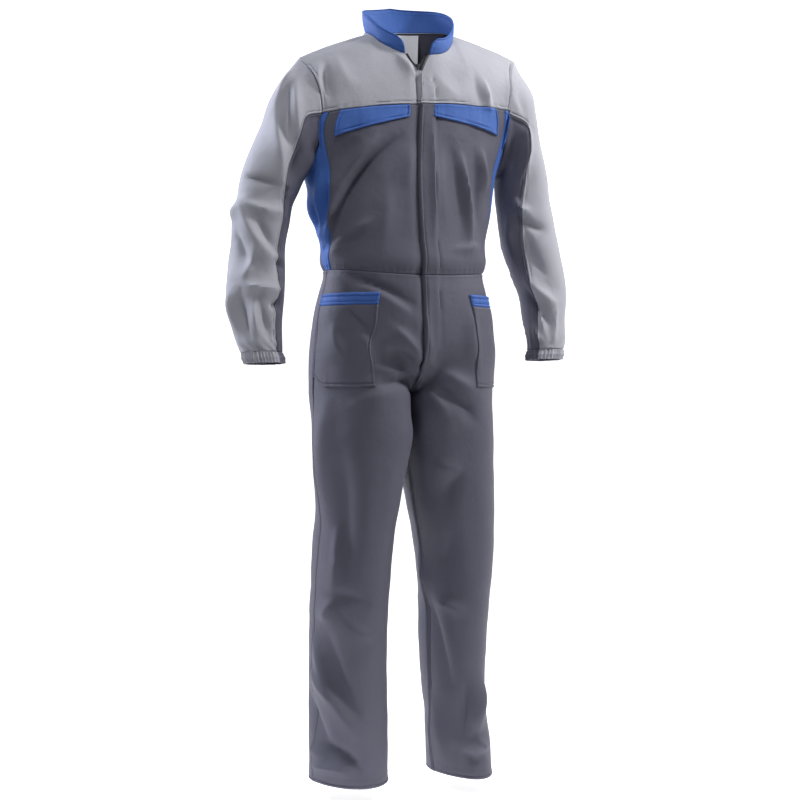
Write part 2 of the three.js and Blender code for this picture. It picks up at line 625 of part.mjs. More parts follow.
// Edges of a panel are drawn in by half a seam's gap, towards the next row or column
function drawIn(grid, topGap = SEAM_GAP, bottomGap = SEAM_GAP) {
  const rows = grid.length;
  const columns = grid[0].length;
  const pull = (spot, next, gap) => {
    const step = next.point.clone().sub(spot.point);
    spot.point.addScaledVector(step.normalize(), gap / 2);
  };
  for (let j = 0; j < columns; j += 1) {
    pull(grid[0][j], grid[1][j], topGap);
    pull(grid[rows - 1][j], grid[rows - 2][j], bottomGap);
  }
  for (let i = 0; i < rows; i += 1) {
    pull(grid[i][0], grid[i][1], SEAM_GAP);
    pull(grid[i][columns - 1], grid[i][columns - 2], SEAM_GAP);
  }
  return grid;
}

// A closed wall between an outer grid of points and an inner one
function closedWall(outer, inner) {
  const rows = outer.length;
  const columns = outer[0].length;
  const points = [...outer.flat(), ...inner.flat()];
  const positions = points.flatMap((point) => [point.x, point.y, point.z]);
  const at = (layer, i, j) => layer * rows * columns + i * columns + j;
  const faces = [];
  for (let i = 0; i < rows - 1; i += 1) {
    for (let j = 0; j < columns - 1; j += 1) {
      faces.push([at(0, i, j), at(0, i + 1, j), at(0, i + 1, j + 1)]);
      faces.push([at(0, i, j), at(0, i + 1, j + 1), at(0, i, j + 1)]);
      faces.push([at(1, i, j), at(1, i + 1, j + 1), at(1, i + 1, j)]);
      faces.push([at(1, i, j), at(1, i, j + 1), at(1, i + 1, j + 1)]);
    }
  }
  const rim = [];
  for (let i = 0; i < rows - 1; i += 1) rim.push([i, 0]);
  for (let j = 0; j < columns - 1; j += 1) rim.push([rows - 1, j]);
  for (let i = rows - 1; i > 0; i -= 1) rim.push([i, columns - 1]);
  for (let j = columns - 1; j > 0; j -= 1) rim.push([0, j]);
  rim.forEach(([i, j], index) => {
    const [nextI, nextJ] = rim[(index + 1) % rim.length];
    faces.push([at(0, nextI, nextJ), at(0, i, j), at(1, i, j)]);
    faces.push([at(0, nextI, nextJ), at(1, i, j), at(1, nextI, nextJ)]);
  });
  const across = outer[1][0].clone().sub(outer[0][0]);
  const along = outer[1][1].clone().sub(outer[0][0]);
  const turnedIn = across.cross(along).dot(outer[0][0].clone().sub(inner[0][0])) < 0;
  const geometry = new THREE.BufferGeometry();
  geometry.setAttribute('position', new THREE.Float32BufferAttribute(positions, 3));
  geometry.setIndex(faces.flatMap(([a, b, c]) => (turnedIn ? [a, c, b] : [a, b, c])));
  const merged = mergeVertices(geometry, 1e-4);
  merged.computeVertexNormals();
  return merged;
}

function addPiece(name, finish, geometry) {
  const mesh = new THREE.Mesh(geometry, new THREE.MeshStandardMaterial(finish));
  mesh.name = name;
  suit.add(mesh);
}

// A grid's points moved along their normals
const moved = (grid, lift) => grid.map((row) => (
  row.map((spot) => spot.point.clone().addScaledVector(spot.normal, lift))));

function addPanel(name, finish, grid, wall = WALL) {
  addPiece(name, finish, closedWall(moved(grid, 0), moved(grid, -wall)));
  return grid;
}

// A piece that lies on part of a panel, made of the panel's own points moved out
function addOverlay(name, finish, panel, rowRange, columnRange) {
  const copy = (spot) => ({ point: spot.point.clone(), normal: spot.normal });
  const rows = panel.slice(rowRange[0], rowRange[1] + 1);
  const part = drawIn(rows.map((row) => row.slice(columnRange[0], columnRange[1] + 1).map(copy)));
  addPiece(name, finish, closedWall(moved(part, OVERLAY_LIFT + WALL), moved(part, OVERLAY_LIFT)));
}

const steps = (count) => Array.from({ length: count + 1 }, (_, index) => index / count);
const sides = [-1, 1];

// Upper body

const FRONT_COLUMNS = [-0.078, 0.035, FLAP_INNER, 0.31, 0.5, 0.69, FLAP_OUTER, 1];
const FLAP_ROWS = 2;
const CHEST_ROWS = 12;

function lapLift(side, share) {
  return side < 0 ? -LAP_DEPTH * (1 - smoothstep(share, 0.035, FLAP_INNER)) : 0;
}

function frontGrid(side) {
  const columns = side < 0 ? FRONT_COLUMNS : [-0.006, ...FRONT_COLUMNS.slice(2)];
  const spot = (share, row) => {
    const topAngle = share * read(SIDE_PANEL_EDGE, 'z', YOKE_SIDE_Z, 'angle');
    const top = yokeSeamZ(topAngle);
    const flap = clamp((share - FLAP_INNER) / (FLAP_OUTER - FLAP_INNER), 0, 1);
    const flapLow = top - lerp(FLAP_INNER_DROP, FLAP_OUTER_DROP, flap);
    const below = (row - FLAP_ROWS) / (CHEST_ROWS - FLAP_ROWS);
    const waist = waistZ(share * PANEL_WAIST_ANGLE);
    const z = row < FLAP_ROWS ? lerp(top, flapLow, row / FLAP_ROWS) : lerp(flapLow, waist, below);
    const angle = side * share * read(SIDE_PANEL_EDGE, 'z', z, 'angle');
    return bodySpot(angle, z, lapLift(side, share));
  };
  const rowNumbers = Array.from({ length: CHEST_ROWS + 1 }, (_, index) => index);
  return drawIn(rowNumbers.map((row) => columns.map((share) => spot(share, row))), SEAM_GAP, WAIST_GAP);
}

// How far each chest row has fallen at the panel's side edge, as a share of the whole
function chestFalls() {
  const top = yokeSeamZ(PANEL_TOP_ANGLE);
  const flapShare = FLAP_OUTER_DROP / (top - waistZ(PANEL_WAIST_ANGLE));
  return Array.from({ length: CHEST_ROWS + 1 }, (_, row) => (row < FLAP_ROWS
    ? flapShare * (row / FLAP_ROWS)
    : lerp(flapShare, 1, (row - FLAP_ROWS) / (CHEST_ROWS - FLAP_ROWS))));
}

function backGrid() {
  return drawIn(chestFalls().map((fall) => steps(14).map((share) => {
    const across = share * 2 - 1;
    const side = across < 0 ? -1 : 1;
    const reach = Math.abs(across);
    const top = yokeSeamZ(180 - PANEL_TOP_ANGLE * reach);
    const z = lerp(top, waistZ(180 - PANEL_WAIST_ANGLE * reach), fall);
    const angle = side * (180 - reach * read(SIDE_PANEL_EDGE, 'z', z, 'angle'));
    return bodySpot(angle, z);
  })), SEAM_GAP, WAIST_GAP);
}

// The side panel runs from the front edge over the armhole's lower half to the back edge
function sidePanelGrid(side) {
  return drawIn(chestFalls().map((fall) => steps(12).map((share) => {
    const across = share * 2 - 1;
    const forward = across < 0 ? 1 : -1;
    const corner = 1 - Math.abs(across);
    const atYoke = corner < PANEL_CORNER;
    const low = clamp((corner - PANEL_CORNER) / (1 - PANEL_CORNER), 0, 1);
    const topAngle = atYoke
      ? lerp(PANEL_TOP_ANGLE, YOKE_SIDE_ANGLE, corner / PANEL_CORNER)
      : read(ARMHOLE_LOW, 'share', low, 'angle');
    const seamZ = yokeSeamZ(forward > 0 ? topAngle : 180 - topAngle);
    const topZ = atYoke ? seamZ : read(ARMHOLE_LOW, 'share', low, 'z');
    const topShare = forward * (90 - topAngle) / (90 - read(SIDE_PANEL_EDGE, 'z', topZ, 'angle'));
    const z = lerp(topZ, waistZ(90 + across * (90 - PANEL_WAIST_ANGLE)), fall);
    const reach = lerp(topShare, -across, fall);
    const angle = 90 - reach * (90 - read(SIDE_PANEL_EDGE, 'z', z, 'angle'));
    return bodySpot(side * angle, z);
  })), SEAM_GAP, WAIST_GAP);
}

function yokeLapLift(side, share) {
  return side < 0 ? -LAP_DEPTH * (1 - smoothstep(share, 0.04, EDGE_SHARE)) : 0;
}

function yokeFrontGrid(side) {
  const columns = [...(side < 0 ? [0, 0.04] : [0]), EDGE_SHARE, 0.2, 0.3, 0.4, 0.5, 0.62, 0.75, 0.88, 1];
  return drawIn(steps(8).map((rise) => columns.map((share) => (
    yokeFrontSpot(side, share, rise, yokeLapLift(side, share))))));
}

function yokeBackGrid() {
  const half = [0.12, 0.25, 0.38, 0.5, 0.62, 0.75, 0.88, 1];
  const columns = [...half.map((share) => -share).reverse(), 0, ...half];
  return drawIn(steps(9).map((rise) => columns.map((share) => yokeBackSpot(share, rise))));
}

// Collar and label

function collarSpot(angle, rise) {
  const base = sway(neckPlace(angle));
  const turned = Math.abs(angle > 180 ? angle - 360 : angle);
  const height = read(NECK_SEAM, 'angle', turned, 'collar');
  const outward = new THREE.Vector3(sin(angle), -cos(angle), 0);
  const up = new THREE.Vector3(0, 0, cos(COLLAR_LEAN)).addScaledVector(outward, sin(COLLAR_LEAN));
  const bulge = 2.5 * Math.sin(Math.PI * rise);
  const point = base.addScaledVector(up, COLLAR_LIFT + height * rise).addScaledVector(outward, bulge);
  const normal = outward.clone().multiplyScalar(cos(COLLAR_LEAN));
  normal.z = -sin(COLLAR_LEAN);
  return { point, normal };
}

function collarGrid() {
  return steps(4).map((rise) => steps(34).map((share) => {
    const setBack = COLLAR_TIP_SET_BACK * rise ** 3;
    return collarSpot(lerp(COLLAR_START + setBack, COLLAR_END - setBack, share), rise);
  }));
}

// The bare label hangs inside the back neck, off the cloth behind it
function labelGrid() {
  return steps(3).map((fall) => steps(4).map((share) => {
    const x = LABEL.x + lerp(-LABEL.half, LABEL.half, share);
    const sine = (x - NECK_X) / NECK_HALF_WIDE;
    const y = NECK_Y + NECK_HALF_DEEP * Math.sqrt(1 - sine * sine) - LABEL.inside;
    const point = new THREE.Vector3(x, y + LABEL.slope * fall, LABEL.top - LABEL.high * fall);
    return { point, normal: new THREE.Vector3(-sine * 0.6, -1, 0).normalize() };
  }));
}

// Sleeves and cuffs

const SLEEVE_ROWS = [0, 0.5, 1, 2, 3, 4, 5, 6, 6.7, 7.4, 8.1, 8.8, 9.5, 10.2, 11, 11.7, 12.4, 13];

function sleeveUpperGrid(side) {
  return drawIn(SLEEVE_ROWS.map((row) => steps(12).map((share) => {
    const seam = sleeveSeam(side, row);
    return sleeveSpot(side, lerp(-seam, seam, share), row);
  })));
}

function sleeveUnderGrid(side) {
  return drawIn(SLEEVE_ROWS.map((row) => steps(10).map((share) => {
    const seam = sleeveSeam(side, row);
    return sleeveSpot(side, lerp(seam, 360 - seam, share), row);
  })));
}

// The cuff casing goes on from the last sleeve section, gathered by its elastic
function cuffSpot(side, angle, fall, gather) {
  const last = SLEEVES.right.length;
  const start = sleevePlace(side, angle, last);
  const down = sleeveHeart(side, last).sub(sleeveHeart(side, last - 0.5)).normalize();
  const outward = start.clone().sub(sleeveHeart(side, last)).normalize();
  const swell = 2 * Math.sin(Math.PI * fall);
  const point = start.addScaledVector(down, SEAM_GAP + CUFF_CASING * fall);
  return { point: point.addScaledVector(outward, swell + gather), normal: outward };
}

function cuffGrid(side, from, to, gathers) {
  const columns = gathers > 0 ? gathers * 2 : 8;
  return drawIn(steps(2).map((fall) => steps(columns).map((share) => {
    const wave = gathers > 0 ? 0.9 * Math.cos(Math.PI * columns * share) : 0;
    return cuffSpot(side, lerp(from, to, share), fall, wave * smoothstep(share, 0, 0.08));
  })));
}

// Trousers

const POCKET_ROWS = [-592, -618, -645, -676, -702, POCKET_BOTTOM];
const THIGH_ROWS = [-735, CROTCH_Z, -770, -810, -860, -915, -970, -1030];
const SHIN_ROWS = [-1090, -1145, -1200, -1255, -1310, -1365, -1415, -1455, -1490, HEM_Z];
const TROUSER_ROWS = [...POCKET_ROWS, ...THIGH_ROWS, ...SHIN_ROWS];
const LAP_FOOT = 0.055;
const TROUSER_FRONT_COLUMNS = [0, LAP_FOOT, 0.11, 0.24, POCKET_INNER, 0.5, 0.63, 0.76, 0.89, 1];

function trouserFrontGrid(side) {
  const columns = TROUSER_FRONT_COLUMNS.filter((share) => side < 0 || share !== LAP_FOOT);
  const spot = (share, z, raised) => {
    const lap = side < 0 ? -read(LAP, 'z', z, 'under') : -0.002 * read(LAP, 'z', z, 'depth');
    const spread = read(POCKET_SPREAD, 'z', z, 'amount') * Math.sin(Math.PI * share);
    const around = lerp(lap, 1 - read(VENT, 'z', z, 'half'), share) + spread;
    const under = side < 0 ? 1 - smoothstep(around, 0.015, 0.065) : 0;
    const lift = -LAP_DEPTH * under * read(LAP, 'z', z, 'depth');
    return trouserSpot(side, around, z + raised, lift);
  };
  const waist = columns.map((share) => spot(share, waistZ(share * 90), 0));
  const bandTop = columns.map((share) => spot(share, POCKET_BAND_TOP, 0));
  const bandBottom = columns.map((share) => spot(share, POCKET_BAND_BOTTOM, 0));
  const rest = TROUSER_ROWS.map((z) => columns.map((share) => {
    const corner = z === POCKET_BOTTOM ? POCKET_CORNER_RISE * smoothstep(share, 0.76, 1) : 0;
    return spot(share, z, corner);
  }));
  return drawIn([waist, bandTop, bandBottom, ...rest], WAIST_GAP);
}

function trouserBackGrid(side) {
  const rows = [POCKET_BAND_TOP, POCKET_BAND_BOTTOM, ...TROUSER_ROWS];
  const around = (share, z) => lerp(1 + read(VENT, 'z', z, 'half') * 0.5, 2, share);
  const waist = steps(9).map((share) => trouserSpot(side, around(share, WAIST_SIDE_Z), WAIST_SIDE_Z));
  const rest = rows.map((z) => steps(9).map((share) => trouserSpot(side, around(share, z), z)));
  return drawIn([waist, ...rest], WAIST_GAP);
}

// Zip

// A strip beside the neck opening: from under the cloth's edge to some way past it
function openingStrip(side, from, past, depth) {
  return steps(3).map((t) => {
    const share = lerp(from, EDGE_SHARE, t);
    const edge = yokeFrontSpot(side, share, 1);
    const below = yokeFrontPlace(side, share, 0.8);
    const inwards = -depth + yokeLapLift(side, share);
    const along = below.sub(edge.point).normalize();
    const spot = (reach) => ({
      point: edge.point.clone().addScaledVector(along, reach).addScaledVector(edge.normal, inwards),
      normal: edge.normal,
    });
    return [spot(STRIP_UNDER), spot(-past)];
  });
}

const SLIDER = { wide: 8, high: 11, deep: 3.4, x: -8.5, y: -88.7, z: -84 };
const PULL_TAB = { wide: 5, high: 13, deep: 1.2, eye: 0.5 };

function addBlock(name, finish, size, x, y, z) {
  const geometry = new THREE.BoxGeometry(size.wide, size.deep, size.high);
  geometry.deleteAttribute('normal');
  geometry.deleteAttribute('uv');
  addPiece(name, finish, mergeVertices(geometry, 1e-4).translate(x, y, z));
}

function addUpperBody() {
  for (const side of sides) {
    const name = sideName(side);
    addPanel(`yoke_front_${name}`, LIGHT_GREY, yokeFrontGrid(side));
    const front = addPanel(`front_${name}`, DARK_GREY, frontGrid(side));
    const first = side < 0 ? 2 : 1;
    addOverlay(`chest_flap_${name}`, BLUE, front, [0, 2], [first, first + 4]);
    addPanel(`side_panel_${name}`, BLUE, sidePanelGrid(side));
    addPanel(`sleeve_upper_${name}`, LIGHT_GREY, sleeveUpperGrid(side));
    addPanel(`sleeve_under_${name}`, DARK_GREY, sleeveUnderGrid(side));
    const seam = SLEEVES[name][SLEEVES[name].length - 1].seam;
    addPanel(`cuff_upper_${name}`, LIGHT_GREY, cuffGrid(side, -seam, seam, CUFF_GATHERS));
    addPanel(`cuff_under_${name}`, DARK_GREY, cuffGrid(side, seam, 360 - seam, 0));
  }
  addPanel('yoke_back', LIGHT_GREY, yokeBackGrid());
  addPanel('back', DARK_GREY, backGrid());
  addPanel('collar', BLUE, collarGrid());
  addPanel('neck_label', WHITE, labelGrid(), THIN_WALL);
}

function addTrousers() {
  for (const side of sides) {
    const name = sideName(side);
    const front = addPanel(`trouser_front_${name}`, DARK_GREY, trouserFrontGrid(side));
    addPanel(`trouser_back_${name}`, DARK_GREY, trouserBackGrid(side));
    const columnCount = front[0].length;
    const pocketColumns = [columnCount - 6, columnCount - 1];
    addOverlay(`pocket_band_${name}`, BLUE, front, [1, 2], pocketColumns);
    addOverlay(`hip_pocket_${name}`, DARK_GREY, front, [2, 8], pocketColumns);
  }
}

function addZip() {
  for (const side of sides) {
    const name = sideName(side);
    const facing = openingStrip(side, 0.03, FACING_PAST, FACING_DEPTH);
    const tape = openingStrip(side, 0.05, TAPE_PAST, TAPE_DEPTH);
    addPanel(`facing_${name}`, DARK_GREY, facing, THIN_WALL);
    addPanel(`zip_tape_${name}`, BLACK, tape, THIN_WALL);
  }
  addBlock('zip_slider', METAL, SLIDER, SLIDER.x, SLIDER.y, SLIDER.z);
  const tabY = SLIDER.y - SLIDER.deep / 2 - PULL_TAB.eye - PULL_TAB.deep / 2;
  const tabZ = SLIDER.z + SLIDER.high / 2 - PULL_TAB.high / 2;
  addBlock('zip_pull_tab', METAL, PULL_TAB, SLIDER.x, tabY, tabZ);
}

addUpperBody();
addTrousers();
addZip();

export default suit;
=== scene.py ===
"""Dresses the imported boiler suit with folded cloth, sewing, a zip and woven finishes.

Forms are worked out in millimetres from the garment's own sizes, +X the wearer's left, -Y the
front, +Z up, and become metres when a mesh is made.
"""

import logging
import math
from dataclasses import dataclass, field
from enum import Enum
from typing import Sequence

import bpy
import numpy as np
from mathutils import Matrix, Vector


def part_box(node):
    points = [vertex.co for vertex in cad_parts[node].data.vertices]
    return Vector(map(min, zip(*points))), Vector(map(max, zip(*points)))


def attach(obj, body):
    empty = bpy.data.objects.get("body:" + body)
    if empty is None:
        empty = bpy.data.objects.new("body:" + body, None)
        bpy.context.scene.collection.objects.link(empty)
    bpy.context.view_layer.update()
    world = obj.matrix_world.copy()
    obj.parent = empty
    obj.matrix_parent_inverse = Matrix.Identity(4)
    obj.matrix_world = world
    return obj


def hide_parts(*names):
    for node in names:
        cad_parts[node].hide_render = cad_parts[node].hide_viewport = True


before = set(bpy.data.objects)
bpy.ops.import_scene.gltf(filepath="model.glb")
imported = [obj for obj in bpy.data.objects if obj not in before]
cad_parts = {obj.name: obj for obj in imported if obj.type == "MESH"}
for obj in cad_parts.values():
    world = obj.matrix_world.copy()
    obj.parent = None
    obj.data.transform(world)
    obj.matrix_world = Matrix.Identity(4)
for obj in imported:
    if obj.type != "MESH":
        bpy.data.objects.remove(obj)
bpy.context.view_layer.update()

LOG = logging.getLogger("boiler_suit")
Array = np.ndarray
METRE = 0.001
SUIT = "suit"

# Driving sizes of the cut, as in the solids
CLOTH_WALL = 1.2
OVERLAY_TOP = 2.0
ARMHOLE_GAP = 0.5
CLOSURE_X = -9
LAP_DEPTH = 2.6
FLY_BOTTOM_Z = -676
NECK_X, NECK_Y = 11, -2
NECK_HALF_WIDE, NECK_HALF_DEEP = 90, 84
COLLAR_START, COLLAR_END = 5, 332
COLLAR_LEAN = 7
OPENING_LOW_Z = -98
SHOULDER_SWAY = 17
SHOULDER_HALF = 243
SHOULDER_TIP = (12, -6, -58)
SHOULDER_NECK_ANGLE = 82
YOKE_SIDE_ANGLE = 50
YOKE_FRONT_Z, YOKE_BACK_Z, YOKE_SIDE_Z = -159, -150, -171
WAIST_SIDE_Z, WAIST_DROP = -492, 12
PANEL_TOP_ANGLE, PANEL_WAIST_ANGLE, PANEL_CORNER = 46, 83, 0.12
CROTCH_Z, CROTCH_TOP_Z = -740, -630
HEM_Z, HEM_FRONT_DROP = -1522, 6
FLAP_INNER, FLAP_OUTER = 0.12, 0.87
FLAP_INNER_DROP, FLAP_OUTER_DROP = 26, 54
POCKET_INNER = 0.376
POCKET_BAND_TOP, POCKET_BAND_BOTTOM, POCKET_BOTTOM = -542, -565, -728
POCKET_CORNER_RISE = 20
CUFF_CASING = 22
CUFF_GATHERS = 26
EDGE_SHARE, NECK_SHARE = 0.1, 0.5
SLEEVE_SECTIONS = 13
SLEEVE_TILT = 0.12

# The view that the fold places are measured in: across it, and its direction
VIEW_ACROSS = np.array((0.906, -0.4226, 0.0))
VIEW_BACK = np.array((-0.4226, -0.906, 0.0))


def sin(degrees: Array | float) -> Array | float:
    """Sine of an angle in degrees."""
    return np.sin(np.radians(degrees))


def cos(degrees: Array | float) -> Array | float:
    """Cosine of an angle in degrees."""
    return np.cos(np.radians(degrees))


def lerp(low: Array | float, high: Array | float, share: Array | float) -> Array | float:
    """The value a share of the way from low to high."""
    return low + (high - low) * share


def smooth(value: Array | float, low: float, high: float) -> Array | float:
    """0 below low, 1 above high, and a soft step between them."""
    t = np.clip((value - low) / (high - low), 0, 1)
    return t * t * (3 - 2 * t)


def place(x: Array | float, y: Array | float, z: Array | float) -> Array:
    """Points from their three coordinates."""
    return np.stack(np.broadcast_arrays(x, y, z), axis=-1).astype(float)


class Table:
    """A table with named columns that is read smoothly by its first one."""

    def __init__(self, columns: str, rows: Sequence[Sequence[float]]) -> None:
        names = columns.split()
        values = np.array(rows, float)
        if values[0, 0] > values[-1, 0]:
            values = values[::-1]
        self.keys = values[:, 0]
        self.columns = {name: values[:, i] for i, name in enumerate(names)}

    def read(self, value: Array | float, column: str) -> Array:
        """A smooth reading of a column, held level past both ends.

        Args:
            value: Where to read, in the first column's own terms.
            column: The name of the column.

        Returns:
            The readings, in the shape of value.
        """
        keys, data = self.keys, self.columns[column]
        last = len(keys) - 1
        value = np.asarray(value, float)
        index = np.clip(np.searchsorted(keys, value, side="right") - 1, 0, last - 1)
        span = keys[index + 1] - keys[index]
        t = np.clip((value - keys[index]) / span, 0, 1)
        rank = np.arange(last + 1)
        before, after = np.maximum(rank - 1, 0), np.minimum(rank + 1, last)
        slopes = (data[after] - data[before]) / (keys[after] - keys[before])
        m1, m2 = slopes[index] * span, slopes[index + 1] * span
        return (
            (2 * t**3 - 3 * t**2 + 1) * data[index]
            + (t**3 - 2 * t**2 + t) * m1
            + (3 * t**2 - 2 * t**3) * data[index + 1]
            + (t**3 - t**2) * m2
        )


BODY = Table(
    "z x wide front back square",
    [
        (-90, 8, 262, 92, 98, 2.3),
        (-159, 5, 262, 98, 110, 2.3),
        (-190, 2, 257, 101, 114, 2.3),
        (-240, -1, 231, 104, 117, 2.3),
        (-300, -4, 206, 107, 115, 2.3),
        (-374, -3, 193, 110, 110, 2.3),
        (-430, -1, 178, 114, 107, 2.3),
        (-468, 0, 174, 120, 109, 2.3),
        (-500, 0, 169, 117, 105, 2.3),
        (-535, 0, 177, 121, 110, 2.3),
        (-584, 0, 188, 124, 122, 2.35),
        (-634, 0, 193, 124, 132, 2.45),
        (-683, 0, 198, 121, 136, 2.6),
        (-740, 0, 198, 117, 132, 2.8),
    ],
)
LEG_COLUMNS = "z x y wide deep square outer"
LEGS = {
    -1: Table(
        LEG_COLUMNS,
        [
            (-740, 98, 7.5, 97.6, 118, 2.5, 1.95),
            (-775, 97.5, 3, 94.5, 118, 2.6, 2),
            (-834, 97, -5, 92, 114, 2.8, 2.2),
            (-953, 104, -4, 77, 103, 2.5, 2.3),
            (-1052, 113, 2, 75, 99, 2.3, 2.2),
            (-1150, 118, 5, 74, 97, 2.2, 2.2),
            (-1249, 121, 5, 74, 96, 2.2, 2.2),
            (-1348, 122, 5, 75, 95, 2.1, 2.1),
            (-1446, 121, 5, 77, 94, 2, 2),
            (-1522, 120, 5, 78, 93, 2, 2),
        ],
    ),
    1: Table(
        LEG_COLUMNS,
        [
            (-740, 98, 7.5, 97.6, 118, 2.5, 1.95),
            (-775, 98, 5, 94.5, 116, 2.6, 2),
            (-834, 98, 0, 92, 112, 2.8, 2.2),
            (-953, 107, 0, 84, 105, 2.5, 2.3),
            (-1052, 117, 3, 76, 102, 2.2, 2.2),
            (-1150, 119, 5, 66, 100, 2.1, 2.1),
            (-1249, 115, 5, 62, 99, 2.1, 2.1),
            (-1348, 116, 5, 54, 101, 2, 2),
            (-1397, 121, 5, 51, 102, 2, 2),
            (-1446, 126, 5, 56, 100, 2, 2),
            (-1522, 131, 5, 58, 99, 2, 2),
        ],
    ),
}
SLEEVE_COLUMNS = "row outX outZ inX inZ y deep pitch seam"
SLEEVES = {
    -1: Table(
        SLEEVE_COLUMNS,
        [
            (1, 262, -110, 214, -300, 2, 68, 0, 84),
            (2, 290, -159, 217, -308, 4, 69, 0, 88),
            (3, 307, -208, 222, -316, 5, 67, 0, 91),
            (4, 332, -262, 227, -327, 6, 64, 0, 95),
            (5, 349, -312, 234, -342, 6, 61, 0, 100),
            (6, 358, -355, 246, -367, 6, 58, 0, 110),
            (7, 368, -399, 253, -402, 5, 58, 2, 117),
            (8, 372, -446, 264, -446, 2, 57, 4, 117),
            (9, 381, -495, 268, -495, -5, 58, 8, 117),
            (10, 387, -543, 272, -543, -15, 57, 12, 117),
            (11, 385, -591, 281, -591, -28, 53, 16, 117),
            (12, 377, -639, 287, -639, -44, 46, 18, 117),
            (13, 369, -662, 290, -662, -52, 40, 18, 117),
        ],
    ),
    1: Table(
        SLEEVE_COLUMNS,
        [
            (1, 284, -88, 217, -280, 2, 68, 0, 88),
            (2, 298, -135, 219, -288, 4, 69, 0, 95),
            (3, 306, -178, 221, -294, 5, 66, 0, 102),
            (4, 319, -225, 222, -301, 6, 63, 0, 108),
            (5, 333, -274, 223, -313, 6, 60, 0, 113),
            (6, 340, -326, 224, -336, 6, 59, 0, 119),
            (7, 349, -375, 229, -378, 5, 60, 2, 126),
            (8, 358, -426, 236, -426, 2, 60, 4, 133),
            (9, 366, -476, 249, -476, -5, 58, 8, 138),
            (10, 369, -527, 267, -527, -15, 52, 12, 139),
            (11, 359, -578, 270, -578, -28, 46, 16, 139),
            (12, 351, -629, 271, -629, -44, 41, 18, 139),
            (13, 342, -650, 269, -650, -51, 38, 18, 139),
        ],
    ),
}
SIDE_PANEL_EDGE = Table(
    "z angle",
    [(-171, 46), (-230, 54), (-300, 58), (-374, 63), (-448, 78), (-500, 83)],
)
ARMHOLE_LOW = Table(
    "share angle z",
    [(0, 50, -171), (0.3, 54, -208), (0.6, 61, -241), (0.82, 73, -269), (1, 90, -287)],
)
YOKE_FRONT = Table(
    "share angle roll",
    [(0, -3.6, 15), (0.04, 1.6, 15), (0.1, 5.5, 18), (0.3, 16, 40), (0.5, 27, 62), (1, 50, 70)],
)
YOKE_BACK = Table(
    "share angle roll",
    [(0, 0, 30), (0.25, 13, 45), (0.4, 21, 75), (0.5, 27, 100), (1, 50, 110)],
)
NECK_SEAM = Table(
    "angle z collar",
    [(0, -58, 30), (30, -52, 30), (60, -28, 32), (82, -6, 35), (120, 8, 44), (180, 15, 51)],
)
LAP = Table(
    "z under depth",
    [
        (-480, 0.045, 1),
        (-592, 0.045, 1),
        (-645, 0.01, 1),
        (FLY_BOTTOM_Z, 0, 1),
        (-702, 0, 0),
        (-760, 0, 0),
    ],
)
VENT = Table(
    "z half",
    [(-573, 0), (-600, 0.014), (-620, 0.022), (-650, 0.013), (-720, 0.01), (-789, 0)],
)
POCKET_SPREAD = Table(
    "z amount",
    [
        (-600, 0),
        (-645, 0.025),
        (-676, 0.07),
        (-700, 0.13),
        (-728, 0.176),
        (-775, 0.12),
        (-860, 0.05),
    ],
)

